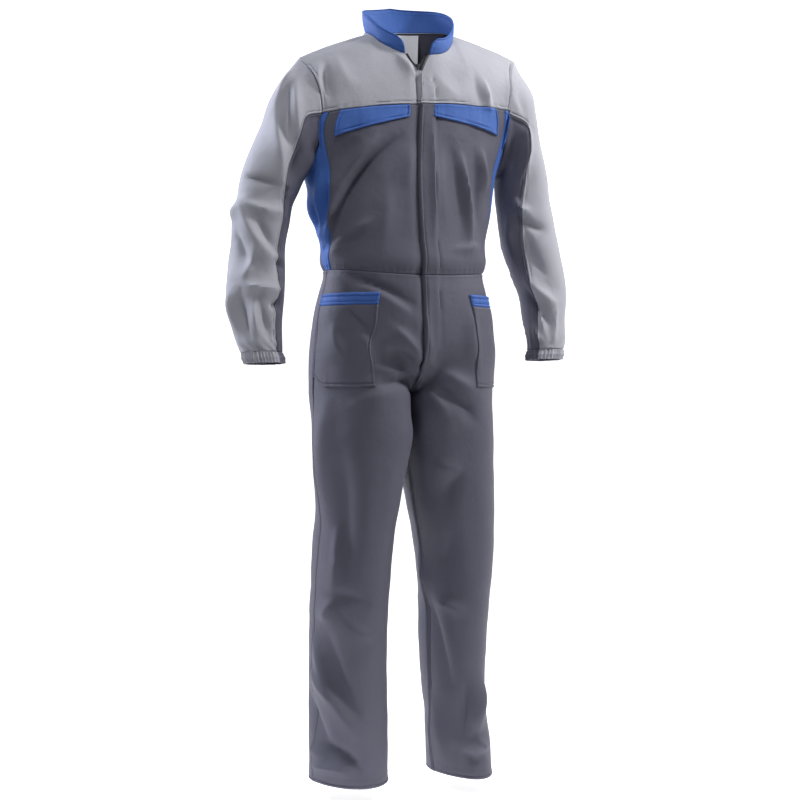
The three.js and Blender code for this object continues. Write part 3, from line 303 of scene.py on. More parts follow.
# Folds that show, each from a1, z1 to a2, z2 with its width, lift and bow, by place across the
# view and height
SEEN_FOLDS = [
    # Chest, wearer's right
    (-56, -236, -146, -420, 17, 9, 20),
    (-92, -230, -128, -330, 24, -5, 0),
    (-4, -226, -148, -446, 12, -9, 22),
    (-60, -396, -146, -458, 10, 5, 4),
    (-30, -330, -40, -470, 22, 3, 0),
    (20, -240, 8, -330, 12, 2, 0),
    (-148, -462, -96, -440, 8, 3, 0),
    # Chest, wearer's left
    (118, -262, 138, -446, 8, 7, -3),
    (96, -240, 122, -430, 12, -3, -4),
    (160, -244, 166, -330, 8, 6, 0),
    (146, -250, 156, -420, 9, -3, 0),
    (57, -180, 62, -450, 7, 2.5, -5),
    (78, -250, 84, -400, 12, 2.5, 3),
    (100, -450, 158, -440, 10, 3, 0),
    # Side panel
    (-163, -296, -160, -436, 7, 7, 2),
    (-130, -348, -156, -440, 8, 6, 0),
    (-192, -336, -165, -424, 7, 7, 3),
    (-176, -350, -164, -420, 8, -8, 0),
    (-148, -330, -152, -410, 7, -6, 0),
    (-178, -250, -184, -330, 8, 4, 0),
    # Yokes
    (-14, -56, 24, -108, 8, 4, -3),
    (-152, -84, -142, -156, 8, -5, 4),
    (-168, -80, -160, -150, 9, 4, 3),
    (-136, -60, -96, -136, 18, 3, 5),
    (166, -100, 178, -164, 7, 5, 0),
    (148, -90, 160, -156, 9, -3, 0),
    (60, -90, 130, -150, 22, 2.5, 8),
    # Wearer's right sleeve
    (-208, -84, -250, -174, 8, 6, 5),
    (-250, -166, -240, -360, 15, 9, -6),
    (-230, -120, -230, -262, 10, -6, 0),
    (-212, -108, -204, -250, 10, 5, 0),
    (-200, -250, -230, -330, 9, -5, 0),
    (-318, -312, -240, -332, 9, -6, 0),
    (-342, -398, -316, -362, 9, 5, 0),
    (-318, -360, -238, -384, 12, 6, 6),
    (-318, -364, -242, -498, 15, 9, 9),
    (-330, -420, -290, -500, 14, -7, 5),
    (-286, -400, -246, -470, 9, -5, 0),
    (-256, -474, -236, -500, 7, -5, 0),
    (-286, -452, -316, -530, 12, 5, -4),
    (-314, -528, -238, -538, 13, 9, 4),
    (-318, -544, -296, -640, 14, -8, 6),
    (-290, -556, -284, -634, 9, 6, 0),
    (-262, -572, -244, -560, 7, -5, 0),
    (-276, -570, -254, -640, 9, -5, 0),
    (-342, -540, -322, -630, 9, 5, 5),
    # Wearer's left sleeve
    (222, -84, 256, -180, 10, 7, 8),
    (240, -100, 268, -200, 9, -4, 8),
    (258, -170, 230, -330, 13, 8, -10),
    (226, -150, 232, -300, 10, -5, 0),
    (232, -330, 266, -364, 9, 6, 5),
    (238, -366, 300, -400, 9, -6, 4),
    (226, -352, 234, -470, 9, 5, 5),
    (252, -390, 300, -500, 14, -6, 6),
    (258, -486, 320, -560, 13, 8, 5),
    (262, -520, 310, -600, 11, -7, 4),
    (286, -560, 300, -640, 7, 5, 0),
    (318, -560, 312, -640, 7, 5, 0),
    (270, -590, 296, -646, 7, 5, 0),
    # Waist and hips
    (-114, -508, 26, -570, 12, -5, -6),
    (-150, -498, -100, -530, 12, 4, 0),
    (-98, -520, 20, -590, 12, 5, -8),
    (-112, -570, -66, -634, 13, -6, -4),
    (-136, -600, -112, -676, 12, 5, 4),
    (-92, -560, -60, -700, 14, 3, 0),
    (-16, -610, 42, -680, 12, 6, -3),
    (-30, -650, 40, -692, 12, -5, 0),
    (-60, -690, 40, -700, 12, 4, 3),
    (-50, -724, 40, -704, 12, -5, 0),
    (-110, -770, 20, -730, 20, 4, -6),
    (46, -728, 92, -790, 12, 6, -4),
    (60, -720, 150, -800, 13, -5, -10),
    (70, -690, 150, -740, 16, 5, 0),
    (60, -880, 118, -900, 18, 4, 0),
    (120, -900, 84, -990, 20, -6, 10),
    (138, -560, 150, -700, 12, 4, 3),
    (40, -560, 60, -700, 12, 2.5, 0),
    # Wearer's right leg
    (-150, -740, -150, -1010, 26, 8, 6),
    (-122, -860, -112, -1120, 24, -7, 0),
    (-134, -1000, -136, -1140, 12, 7, -3),
    (-136, -1140, -60, -1162, 16, -4, -4),
    (-136, -1150, -158, -1200, 12, 6, 0),
    (-128, -1170, -60, -1230, 20, 5, 8),
    (-178, -1226, -86, -1430, 13, 9, 12),
    (-150, -1220, -80, -1390, 16, -7, 10),
    (-184, -1290, -120, -1360, 12, 5, 4),
    (-196, -1330, -140, -1460, 14, -6, 6),
    (-172, -1440, -76, -1492, 12, -9, -8),
    (-190, -1486, -76, -1478, 12, 6, 6),
    (-196, -1454, -150, -1462, 12, 4, 0),
    # Wearer's left leg
    (50, -1140, 100, -1350, 18, -8, 6),
    (66, -1164, 128, -1190, 12, 6, -5),
    (30, -1060, 56, -1180, 12, 4, 0),
    (100, -1020, 70, -1130, 22, -5, 0),
    (162, -1328, 146, -1440, 12, 9, 0),
    (146, -1436, 166, -1474, 12, 8, 0),
    (128, -1330, 120, -1450, 14, -7, 0),
    (120, -1470, 160, -1490, 12, -5, 0),
    (60, -1360, 90, -1500, 22, 5, 0),
]
# Folds on the hidden side in the same form, by X and Z
HIDDEN_FOLDS = [
    (-180, -270, -60, -360, 16, -5, 10),
    (180, -270, 65, -370, 16, -5, -10),
    (-90, -240, -100, -430, 13, 5, 6),
    (85, -235, 95, -425, 13, 5, -6),
    (-30, -260, -35, -450, 10, 3.5, 0),
    (28, -300, 36, -460, 9, 3, 0),
    (-130, -420, -60, -470, 9, 4, 5),
    (130, -410, 50, -465, 9, 4, -5),
    (-20, -735, -130, -665, 12, 6, 8),
    (20, -735, 125, -670, 12, 6, -8),
    (-30, -775, -140, -745, 11, -6, 6),
    (30, -775, 135, -750, 11, -6, -6),
    (-100, -560, -110, -640, 12, 3, 0),
    (95, -565, 105, -640, 12, 3, 0),
    (-60, -1080, -165, -1130, 13, -6, 5),
    (-70, -1160, -165, -1185, 13, 5, -5),
    (70, -1080, 165, -1140, 13, -6, 5),
    (75, -1165, 160, -1200, 13, 5, 0),
    (-100, -1250, -150, -1400, 12, 5, 8),
    (105, -1250, 145, -1400, 12, 5, -6),
    (-90, -1430, -165, -1480, 10, -4, 0),
    (90, -1440, 160, -1490, 10, -4, 0),
    (-290, -200, -300, -330, 10, 4, 5),
    (-360, -400, -280, -440, 8, 5, 4),
    (-350, -450, -290, -490, 8, -5, 0),
    (-370, -540, -300, -600, 9, 4, 0),
    (295, -180, 300, -320, 10, 4, -5),
    (350, -400, 250, -430, 8, 5, 4),
    (340, -450, 260, -480, 8, -5, 0),
    (350, -540, 290, -590, 9, 4, 0),
]


# How round a fold's crest is, and how straight its flanks run
CREST, FLANK = 0.2, 1.3


class Folds:
    """The soft ridges and troughs that hang in the worn cloth."""

    strength = 2.3

    def __init__(self) -> None:
        self.seen = np.array(SEEN_FOLDS, float)
        self.hidden = np.array(HIDDEN_FOLDS, float)

    @staticmethod
    def reach(rows: Array, across: Array, z: Array) -> Array:
        """How far the folds of one table lift the cloth.

        Args:
            rows: The table: a1, z1, a2, z2, width, lift and bow.
            across: Places across the view.
            z: Heights of the same places.

        Returns:
            Lifts in millimetres.
        """
        lift = np.zeros_like(across)
        for a1, z1, a2, z2, wide, high, bow in rows:
            run, fall = a2 - a1, z2 - z1
            length = math.hypot(run, fall)
            along = ((across - a1) * run + (z - z1) * fall) / length**2
            t = np.clip(along, 0, 1)
            aside = ((across - a1) * fall - (z - z1) * run) / length
            aside = aside - bow * np.sin(np.pi * t)
            beyond = (along - t) * length
            width = wide * np.where(aside > 0, 1.35, 0.75) * (0.75 + 0.5 * t)
            off = np.hypot(np.hypot(aside, beyond) / width, CREST)
            fall_off = np.exp(CREST**FLANK - off**FLANK)
            lift += high * fall_off * np.sin(np.pi * (0.05 + 0.9 * t))
        return lift

    def height(self, points: Array, normals: Array) -> Array:
        """Fold lifts at points of the cloth, faded where a face turns edge-on."""
        toward = smooth(normals @ VIEW_BACK, 0.05, 0.45)
        away = smooth(normals[..., 1], 0.1, 0.5)
        seen = self.reach(self.seen, points @ VIEW_ACROSS, points[..., 2])
        hidden = self.reach(self.hidden, points[..., 0], points[..., 2])
        return self.strength * (toward * seen + away * hidden)


def ripple(points: Array) -> Array:
    """Shallow unevenness of cloth that has been worn, in millimetres."""
    x, y, z = points[..., 0], points[..., 1], points[..., 2]
    slow = np.sin(x / 31 + z / 83 + 2 * np.sin(z / 140)) * np.sin(z / 57 - y / 40)
    quick = np.sin(x / 13 - z / 29 + 1.5 * np.sin(y / 23)) * np.sin(z / 17 + x / 41)
    return 1.1 * slow + 0.5 * quick


class Edge(Enum):
    """How a panel ends."""

    PLAIN = "plain"
    SEAM = "seam"
    TOPSTITCHED = "topstitched"
    FOLDED = "folded"


# How far the cloth stands out at each distance from an edge
EDGE_DISTANCE = (0, 1.2, 3, 6, 8.5, 12)
EDGE_RELIEF = {
    Edge.PLAIN: (0, 0, 0, 0, 0, 0),
    Edge.SEAM: (-1.8, -0.4, 0.3, 0, 0, 0),
    Edge.TOPSTITCHED: (-1.8, 0.2, 1.4, -1.4, 0.6, 0),
    Edge.FOLDED: (-1.0, 0.5, 1.2, -1.1, 0.5, 0),
}
# Height of the puckers along an edge
PUCKER = {Edge.PLAIN: 0, Edge.SEAM: 0.5, Edge.TOPSTITCHED: 1.0, Edge.FOLDED: 0.5}


def arc(points: Array, axis: int) -> Array:
    """Distances along the rows or columns of a grid, from its first point."""
    steps = np.linalg.norm(np.diff(points, axis=axis), axis=-1)
    pad = [(0, 0), (0, 0)]
    pad[axis] = (1, 0)
    return np.cumsum(np.pad(steps, pad), axis=axis)


def spaced(length: float, step: float) -> Array:
    """Shares of a length, close together near both ends and a step apart between them.

    Args:
        length: The length in millimetres.
        step: The spacing away from the ends.

    Returns:
        Rising shares from 0 to 1.
    """
    near = [d for d in EDGE_DISTANCE if d < length * 0.4]
    inner = length - 2 * near[-1]
    middle = np.linspace(near[-1], length - near[-1], max(2, round(inner / step)) + 1)
    far = [length - d for d in reversed(near)]
    return np.array(near[:-1] + list(middle) + far[1:]) / length


@dataclass
class Panel:
    """A piece of cloth as a grid of points of its outer side, row by row."""

    points: Array
    edges: tuple[Edge, Edge, Edge, Edge] = (Edge.SEAM,) * 4
    heart: tuple[float, float, float] = (0.0, 0.0, -300.0)
    scooped: bool = False
    normals: Array = field(init=False)

    def __post_init__(self) -> None:
        self.normals = self.find_normals()

    def find_normals(self) -> Array:
        """Unit normals of the grid, turned away from the heart."""
        across = np.gradient(self.points, axis=1)
        down = np.gradient(self.points, axis=0)
        normals = np.cross(across, down)
        normals /= np.maximum(np.linalg.norm(normals, axis=-1, keepdims=True), 1e-9)
        outward = np.sum(normals * (self.points - np.array(self.heart)))
        return normals if outward > 0 else -normals

    def move(self, lift: Array | float) -> "Panel":
        """Moves the cloth outwards by a lift per point."""
        self.points = self.points + self.normals * np.asarray(lift)[..., None]
        return self

    def distances(self) -> tuple[Array, Array, Array, Array]:
        """How far each point is from the top, bottom, first and last edge."""
        down, across = arc(self.points, 0), arc(self.points, 1)
        return down, down[-1:, :] - down, across, across[:, -1:] - across

    def sew_edges(self) -> "Panel":
        """Gives every edge its turned-in lip, its sewn channel and some puckers."""
        lift = np.zeros(self.points.shape[:2])
        down, _, across, _ = self.distances()
        for edge, off, along in zip(self.edges, self.distances(), (across, across, down, down)):
            lift += np.interp(off, EDGE_DISTANCE, EDGE_RELIEF[edge])
            wave = np.sin(along / 2.6 + 2 * np.sin(along / 23)) * (0.6 + 0.4 * np.sin(along / 15 + 1))
            lift += PUCKER[edge] * wave * np.exp(-off / 9) * smooth(off, 0, 3)
        return self.move(lift)

    def hang(self, stand_off: float = 0.0) -> "Panel":
        """Lays folds and ripples on the cloth, at a stand-off from what is under it."""
        return self.move(stand_off + FOLDS.height(self.points, self.normals) + ripple(self.points))

    def sewn(self) -> "Panel":
        """Sews the edges and finds the normals again."""
        self.sew_edges()
        self.normals = self.find_normals()
        return self

    def line(self, edge: int, distance: float) -> tuple[Array, Array]:
        """A line on the cloth beside one edge.

        Args:
            edge: 0 top, 1 bottom, 2 first column, 3 last column.
            distance: How far from the edge.

        Returns:
            The line's points and normals.
        """
        off = self.distances()[edge]
        if edge > 1:
            strips = zip(off, self.points, self.normals)
        else:
            strips = zip(off.T, self.points.transpose(1, 0, 2), self.normals.transpose(1, 0, 2))
        points, normals = [], []
        for gap, run, face in strips:
            if gap[0] > gap[-1]:
                gap, run, face = gap[::-1], run[::-1], face[::-1]
            points.append([np.interp(distance, gap, run[:, i]) for i in range(3)])
            normals.append([np.interp(distance, gap, face[:, i]) for i in range(3)])
        return np.array(points), np.array(normals)

    def flat_size(self) -> tuple[float, float, float]:
        """The cut that shows, as width, length and area in metres, a little rounded up."""
        level = self.points * (1, 1, 0 if self.scooped else 1)
        wide = float(arc(level, 1)[:, -1].max())
        long = float(arc(self.points, 0)[-1].max())
        across = np.diff(self.points, axis=1)[:-1]
        down = np.diff(self.points, axis=0)[:, :-1]
        area = float(np.linalg.norm(np.cross(across, down), axis=-1).sum())
        wide, long = math.ceil(wide), math.ceil(long)
        return wide * METRE, long * METRE, min(area, wide * long) * METRE**2


FOLDS = Folds()


class BodyForm:
    """The trunk's form: fronts, back, side panels, yokes and neck."""

    @staticmethod
    def sway(points: Array) -> Array:
        """Lowers the wearer's right shoulder and lifts the left one."""
        rise = np.clip((points[..., 2] + 490) / 320, 0, 1)
        lean = np.clip(points[..., 0] / SHOULDER_HALF, -1, 1)
        return points + place(0, 0, SHOULDER_SWAY * lean * rise)

    @staticmethod
    def section(angle: Array, wide: Array, deep: Array, square: Array) -> tuple[Array, Array]:
        """A point of a rounded section, by its angle from the front."""
        across, along = sin(angle), cos(angle)
        reach = (np.abs(across) ** square + np.abs(along) ** square) ** (-1 / square)
        return wide * reach * across, -deep * reach * along

    @classmethod
    def place(cls, angle: Array, z: Array) -> Array:
        """A point of the trunk before it leans."""
        angle, z = np.broadcast_arrays(np.asarray(angle, float), np.asarray(z, float))
        depth = np.where(np.abs(angle) < 90, BODY.read(z, "front"), BODY.read(z, "back"))
        x, y = cls.section(angle, BODY.read(z, "wide"), depth, BODY.read(z, "square"))
        shift = CLOSURE_X * np.maximum(0, cos(angle)) ** 3
        return place(x + BODY.read(z, "x") + shift, y, z)

    @classmethod
    def surface(cls, angle: Array, z: Array) -> Array:
        """A point of the trunk as it hangs."""
        return cls.sway(cls.place(angle, z))

    @staticmethod
    def yoke_seam(angle: Array) -> Array:
        """Height of the yoke's lower seam."""
        middle = np.where(np.abs(angle) < 90, YOKE_FRONT_Z, YOKE_BACK_Z)
        return middle + (YOKE_SIDE_Z - middle) * (sin(angle) / sin(YOKE_SIDE_ANGLE)) ** 2

    @staticmethod
    def waist(angle: Array) -> Array:
        """Height of the waist seam."""
        return WAIST_SIDE_Z - WAIST_DROP * np.maximum(0, cos(angle)) ** 2

    @staticmethod
    def neck(angle: Array) -> Array:
        """A point of the neck seam, by its angle from the front."""
        angle = np.asarray(angle, float)
        turned = np.abs(np.where(angle > 180, angle - 360, angle))
        return place(
            NECK_X + NECK_HALF_WIDE * sin(angle),
            NECK_Y - NECK_HALF_DEEP * cos(angle),
            NECK_SEAM.read(turned, "z"),
        )

    @classmethod
    def shoulder(cls, side: int, share: Array) -> Array:
        """A point of the shoulder seam, from the neck to the armhole."""
        start = cls.neck(side * SHOULDER_NECK_ANGLE)
        tip = np.array(SHOULDER_TIP, float) + (side * SHOULDER_HALF, 0, 0)
        share = np.asarray(share, float)[..., None]
        return start + (tip - start) * share + np.array((0, 0, 7.0)) * share * (1 - share)

    @staticmethod
    def rolled(low: Array, high: Array, roll: Array, rise: Array) -> Array:
        """Cloth that rises from a low point and rolls over towards a high one."""
        across = ((1 - cos(roll * rise)) / (1 - cos(roll)))[..., None]
        up = (sin(roll * rise) / sin(roll))[..., None]
        flat = low + (high - low) * across
        steep = low + (high - low) * up
        return np.concatenate([flat[..., :2], steep[..., 2:]], axis=-1)

    @classmethod
    def yoke_front_top(cls, side: int, share: Array) -> Array:
        """The upper edge of a front yoke: opening, neck and shoulder."""
        end = COLLAR_END - 360 if side < 0 else COLLAR_START
        around = np.clip((share - EDGE_SHARE) / (NECK_SHARE - EDGE_SHARE), 0, 1)
        neck = cls.neck(lerp(end, side * SHOULDER_NECK_ANGLE, around))
        outer = np.clip((share - NECK_SHARE) / (1 - NECK_SHARE), 0, 1)
        lapped = 1 if side < 0 else 0.1
        low = cls.place(side * YOKE_FRONT.read(share, "angle") * lapped, OPENING_LOW_Z)
        t = np.clip(share / EDGE_SHARE, 0, 1)
        edge = low + (cls.neck(end) - low) * t[..., None]
        edge = edge - place(2 * side * np.sin(np.pi * t), 0, 0)
        top = np.where((share < EDGE_SHARE)[..., None], edge, neck)
        return np.where((share >= NECK_SHARE)[..., None], cls.shoulder(side, outer), top)

    @classmethod
    def yoke_front(cls, side: int, share: Array, rise: Array) -> Array:
        """A point of a front yoke."""
        share, rise = np.broadcast_arrays(np.asarray(share, float), np.asarray(rise, float))
        lapped = np.where((side > 0) & (share < EDGE_SHARE), lerp(0.1, 1, share / EDGE_SHARE), 1)
        angle = side * YOKE_FRONT.read(share, "angle") * lapped
        low = cls.place(angle, cls.yoke_seam(angle))
        top = cls.yoke_front_top(side, share)
        return cls.sway(cls.rolled(low, top, YOKE_FRONT.read(share, "roll"), rise))

    @classmethod
    def yoke_back(cls, share: Array, rise: Array) -> Array:
        """A point of the back yoke; the share is below 0 on the wearer's right."""
        share, rise = np.broadcast_arrays(np.asarray(share, float), np.asarray(rise, float))
        side, reach = np.where(share < 0, -1, 1), np.abs(share)
        angle = side * (180 - YOKE_BACK.read(reach, "angle"))
        low = cls.place(angle, cls.yoke_seam(angle))
        neck = cls.neck(side * lerp(180, SHOULDER_NECK_ANGLE, np.clip(reach / NECK_SHARE, 0, 1)))
        outer = np.clip((reach - NECK_SHARE) / (1 - NECK_SHARE), 0, 1)
        ends = [cls.shoulder(s, outer) for s in (-1, 1)]
        shoulder = np.where((side < 0)[..., None], ends[0], ends[1])
        top = np.where((reach >= NECK_SHARE)[..., None], shoulder, neck)
        return cls.sway(cls.rolled(low, top, YOKE_BACK.read(reach, "roll"), rise))


class SleeveForm:
    """One sleeve's form, from the armhole to the cuff."""

    def __init__(self, side: int) -> None:
        self.side = side
        self.table = SLEEVES[side]
        count = 24
        shares = np.arange(count) / count
        back = np.arange(count, 0, -1) / count
        parts = [
            BodyForm.yoke_front(side, np.ones(count), 1 - shares),
            self.low_edge(shares, False),
            self.low_edge(back, True),
            BodyForm.yoke_back(np.full(count + 1, float(side)), np.arange(count + 1) / count),
        ]
        self.armhole = np.concatenate(parts)
        steps = np.linalg.norm(np.diff(self.armhole, axis=0), axis=1)
        self.lengths = np.concatenate([[0], np.cumsum(steps)])

    def low_edge(self, share: Array, back: bool) -> Array:
        """The armhole below the yoke."""
        angle = ARMHOLE_LOW.read(share, "angle")
        around = self.side * (180 - angle if back else angle)
        return BodyForm.surface(around, ARMHOLE_LOW.read(share, "z"))

    def section(self, angle: Array, number: int) -> Array:
        """One numbered section; the angle runs from the outer side over the front."""
        if number == 0:
            wanted = np.mod(angle / 360, 1) * self.lengths[-1]
            edge = [np.interp(wanted, self.lengths, self.armhole[:, i]) for i in range(3)]
            return place(edge[0] + self.side * ARMHOLE_GAP, edge[1], edge[2])
        row = {name: values[number - 1] for name, values in self.table.columns.items()}
        outward, upward = (row["outX"] - row["inX"]) / 2, (row["outZ"] - row["inZ"]) / 2
        tilt = SLEEVE_TILT * row["pitch"] * sin(angle)
        return place(
            self.side * ((row["outX"] + row["inX"]) / 2 + outward * cos(angle)),
            row["y"] - row["deep"] * sin(angle),
            (row["outZ"] + row["inZ"]) / 2 + upward * cos(angle) + tilt,
        )

    def surface(self, angle: Array, row: Array) -> Array:
        """A point of the sleeve, by its angle and its place between the sections."""
        angle, row = np.broadcast_arrays(np.asarray(angle, float), np.asarray(row, float))
        sections = np.stack([self.section(angle, n) for n in range(SLEEVE_SECTIONS + 1)])
        index = np.clip(np.floor(row).astype(int), 0, SLEEVE_SECTIONS - 1)
        t = (row - index)[..., None]
        near = [np.clip(index + step, 0, SLEEVE_SECTIONS) for step in (-1, 0, 1, 2)]
        p0, p1, p2, p3 = (
            np.take_along_axis(sections, n[None, ..., None], axis=0)[0] for n in near
        )
        m1, m2 = (p2 - p0) / 2, (p3 - p1) / 2
        rest = 3 * (p2 - p1) - 2 * m1 - m2 + t * (2 * (p1 - p2) + m1 + m2)
        return p1 + t * (m1 + t * rest)

    def seam(self, row: Array) -> Array:
        """The angle of the seam between upper and under sleeve."""
        return self.table.read(row, "seam")

    def heart(self, row: float) -> Array:
        """The middle of the sleeve at a row."""
        return (self.surface(0.0, row) + self.surface(180.0, row)) / 2


class LegForm:
    """Hips and leg of one side."""

    def __init__(self, side: int) -> None:
        self.side = side
        self.table = LEGS[side]

    def share(self, z: Array, around: Array) -> Array:
        """The share of leg in the section: 0 on the hips, 1 from the crotch down."""
        t = np.clip((CROTCH_TOP_Z - z) / (CROTCH_TOP_Z - CROTCH_Z), 0, 1)
        late = 1 - np.sqrt(np.maximum(0, 1 - t * t))
        return lerp(late, smooth(t, 0, 1), smooth(np.minimum(around, 2 - around), 0, 0.35))

    def surface(self, around: Array, z: Array) -> Array:
        """A point of the trousers: around is 0 at the front middle and 2 at the back one."""
        around, z = np.broadcast_arrays(np.asarray(around, float), np.asarray(z, float))
        share = self.share(z, around)
        hip = BodyForm.place(self.side * around * 90, np.maximum(z, CROTCH_Z))
        hip_x = hip[..., 0] - CLOSURE_X * np.maximum(0, cos(around * 90)) ** 3 * share
        turn = around * 180 - 90
        level = np.minimum(z, CROTCH_Z)
        read = self.table.read
        outer = (turn > 0) & (turn < 180)
        square = np.where(outer, read(level, "outer"), read(level, "square"))
        x, y = BodyForm.section(turn, read(level, "wide"), read(level, "deep"), square)
        leg_x, leg_y = self.side * (read(level, "x") + x), read(level, "y") + y
        drop = HEM_FRONT_DROP * np.maximum(0, cos(turn)) ** 2 * smooth(-z, -HEM_Z - 60, -HEM_Z)
        return place(lerp(hip_x, leg_x, share), lerp(hip[..., 1], leg_y, share), z - drop)


# Finishes


class Socket:
    """A node's output that can be used in a sum or a product."""

    def __init__(self, graph: "Graph", output: bpy.types.NodeSocket) -> None:
        self.graph = graph
        self.output = output

    def math(self, operation: str, *values: "Socket | float") -> "Socket":
        """A Math node of one operation on this output and the values."""
        return self.graph.node("ShaderNodeMath", {"operation": operation}, self, *values)

    def __radd__(self, other: float) -> "Socket":
        return self.math("ADD", other)

    def __mul__(self, other: "Socket | float") -> "Socket":
        return self.math("MULTIPLY", other)

    def __rmul__(self, other: float) -> "Socket":
        return self.math("MULTIPLY", other)


class Graph:
    """A material's nodes."""

    def __init__(self, name: str) -> None:
        self.material = bpy.data.materials.new(name)
        self.material.use_nodes = True
        self.tree = self.material.node_tree
        self.shader = self.tree.nodes["Principled BSDF"]

    def node(
        self, kind: str, settings: dict, *values: object, output: int | str = 0, **named: object
    ) -> Socket:
        """Adds a node.

        Args:
            kind: The node's type.
            settings: Properties that are set first.
            values: Values or outputs for its sockets, in their order.
            output: Which output is given back.
            named: Values or outputs by socket name, with _ for a space.

        Returns:
            The output.
        """
        made = self.tree.nodes.new(kind)
        for key, value in settings.items():
            setattr(made, key, value)
        for index, value in enumerate(values):
            self.feed(made.inputs[index], value)
        for key, value in named.items():
            self.feed(made.inputs[key.replace("_", " ")], value)
        return Socket(self, made.outputs[output])

    def feed(self, socket: bpy.types.NodeSocket, value: object) -> None:
        """Links an output to a socket, or sets the socket's own value."""
        if isinstance(value, Socket):
            self.tree.links.new(value.output, socket)
        else:
            socket.default_value = value

    def mix(self, share: Socket | float, low: object, high: object) -> Socket:
        """A colour between two colours."""
        made = self.tree.nodes.new("ShaderNodeMix")
        made.data_type = "RGBA"
        for number, value in zip((0, 6, 7), (share, low, high)):
            self.feed(made.inputs[number], value)
        return Socket(self, made.outputs[2])

    def noise(self, vector: Socket, scale: float, detail: float = 2.0) -> Socket:
        """A noise from 0 to 1."""
        return self.node("ShaderNodeTexNoise", {}, Vector=vector, Scale=scale, Detail=detail)

    def set(self, **values: object) -> None:
        """Feeds the shader's own sockets by name, with _ for a space."""
        for key, value in values.items():
            self.feed(self.shader.inputs[key.replace("_", " ")], value)


def shade(colour: tuple[float, float, float], share: float) -> tuple[float, float, float, float]:
    """A colour made darker or lighter by a share."""
    return (*[min(1.0, c * share) for c in colour], 1.0)


@dataclass(frozen=True)
class Twill:
    """Work cloth in a fine diagonal weave."""

    name: str
    slot: str
    colour: tuple[float, float, float]
    sheen: float = 0.03
    roughness: float = 0.62
    rib: float = 0.0011
    twill_angle: float = 58.0
    weave_depth: float = 0.00022

    def material(self) -> bpy.types.Material:
        """The weave, its flecks, its soft creases and a faint wear."""
        g = Graph(self.name)
        uv = g.node("ShaderNodeUVMap", {"uv_map": "weave"})
        place_on = g.node("ShaderNodeTexCoord", {}, output="Object")
        turned = (0, 0, math.radians(self.twill_angle))
        diagonal = g.node("ShaderNodeMapping", {"vector_type": "TEXTURE"}, uv, Rotation=turned)
        waves = g.node(
            "ShaderNodeTexWave",
            {"wave_type": "BANDS", "bands_direction": "X", "wave_profile": "SIN"},
            Vector=diagonal,
            Scale=math.pi / self.rib / 10,
            Distortion=0.6,
            Detail=1.0,
            Detail_Scale=4.0,
            output="Fac",
        )
        flecks = g.noise(uv, 900.0, 2.0)
        clouds = g.noise(place_on, 9.0, 3.0)
        creases = g.noise(place_on, 34.0, 3.0)
        fine = g.noise(place_on, 130.0, 2.0)
        tone = g.mix(clouds, shade(self.colour, 0.93), shade(self.colour, 1.07))
        tone = g.mix(flecks * 0.35, tone, shade(self.colour, 0.72))
        tone = g.mix(waves * 0.18, tone, shade(self.colour, 1.3))
        g.set(Base_Color=tone, Roughness=self.roughness + 0.1 * clouds)
        g.set(Sheen_Weight=self.sheen, Sheen_Roughness=0.45, Specular_IOR_Level=0.35)
        soft = g.node("ShaderNodeBump", {}, Strength=0.35, Distance=0.004, Height=creases)
        small = g.node("ShaderNodeBump", {}, Strength=0.25, Distance=0.001, Height=fine, Normal=soft)
        weave = g.node(
            "ShaderNodeBump", {}, Strength=0.5, Distance=self.weave_depth, Height=waves, Normal=small
        )
        g.set(Normal=weave)
        return g.material


@dataclass(frozen=True)
class Plain:
    """Thread, tape, label or metal: one colour with a little grain."""

    name: str
    slot: str
    colour: tuple[float, float, float]
    roughness: float = 0.6
    metallic: float = 0.0
    grain: float = 700.0

    def material(self) -> bpy.types.Material:
        """The finish with its grain."""
        g = Graph(self.name)
        place_on = g.node("ShaderNodeTexCoord", {}, output="Object")
        grain = g.noise(place_on, self.grain, 3.0)
        g.set(Base_Color=g.mix(grain, shade(self.colour, 0.86), shade(self.colour, 1.12)))
        g.set(Roughness=self.roughness + 0.12 * grain, Metallic=self.metallic)
        g.set(Normal=g.node("ShaderNodeBump", {}, Strength=0.3, Distance=0.0002, Height=grain))
        return g.material


class Finish(Enum):
    """Every finish of the suit."""

    LIGHT = Twill("light_twill", "light_cloth", (0.37, 0.375, 0.42))
    DARK = Twill("dark_twill", "dark_cloth", (0.097, 0.096, 0.132))
    BLUE = Twill("blue_twill", "blue_cloth", (0.045, 0.125, 0.42))
    LABEL = Plain("label_weave", "label_cloth", (0.97, 0.97, 0.98), 0.7)
    TAPE = Plain("tape_weave", "zip_tape", (0.012, 0.012, 0.014), 0.75)
    METAL = Plain("slider_metal", "zip_metal", (0.1, 0.1, 0.11), 0.32, 0.9, 300.0)
    # The three threads are coloured darker than their cloth: painted shade of the sewn channels, over
    # the threads' own tone-on-tone colour
    LIGHT_THREAD_PAINTED_SHADE = Plain("light_thread_painted_shade", "light_cloth", (0.1, 0.105, 0.125), 0.6)
    DARK_THREAD_PAINTED_SHADE = Plain("dark_thread_painted_shade", "dark_cloth", (0.03, 0.03, 0.042), 0.6)
    BLUE_THREAD_PAINTED_SHADE = Plain("blue_thread_painted_shade", "blue_cloth", (0.02, 0.055, 0.22), 0.6)

    def material(self) -> bpy.types.Material:
        """This finish's material, made once."""
        found = bpy.data.materials.get(self.value.name)
        return found or self.value.material()


def linked(name: str, data: bpy.types.ID) -> bpy.types.Object:
    """A new object of some data, linked to the scene."""
    made = bpy.data.objects.new(name, data)
    bpy.context.scene.collection.objects.link(made)
    return made


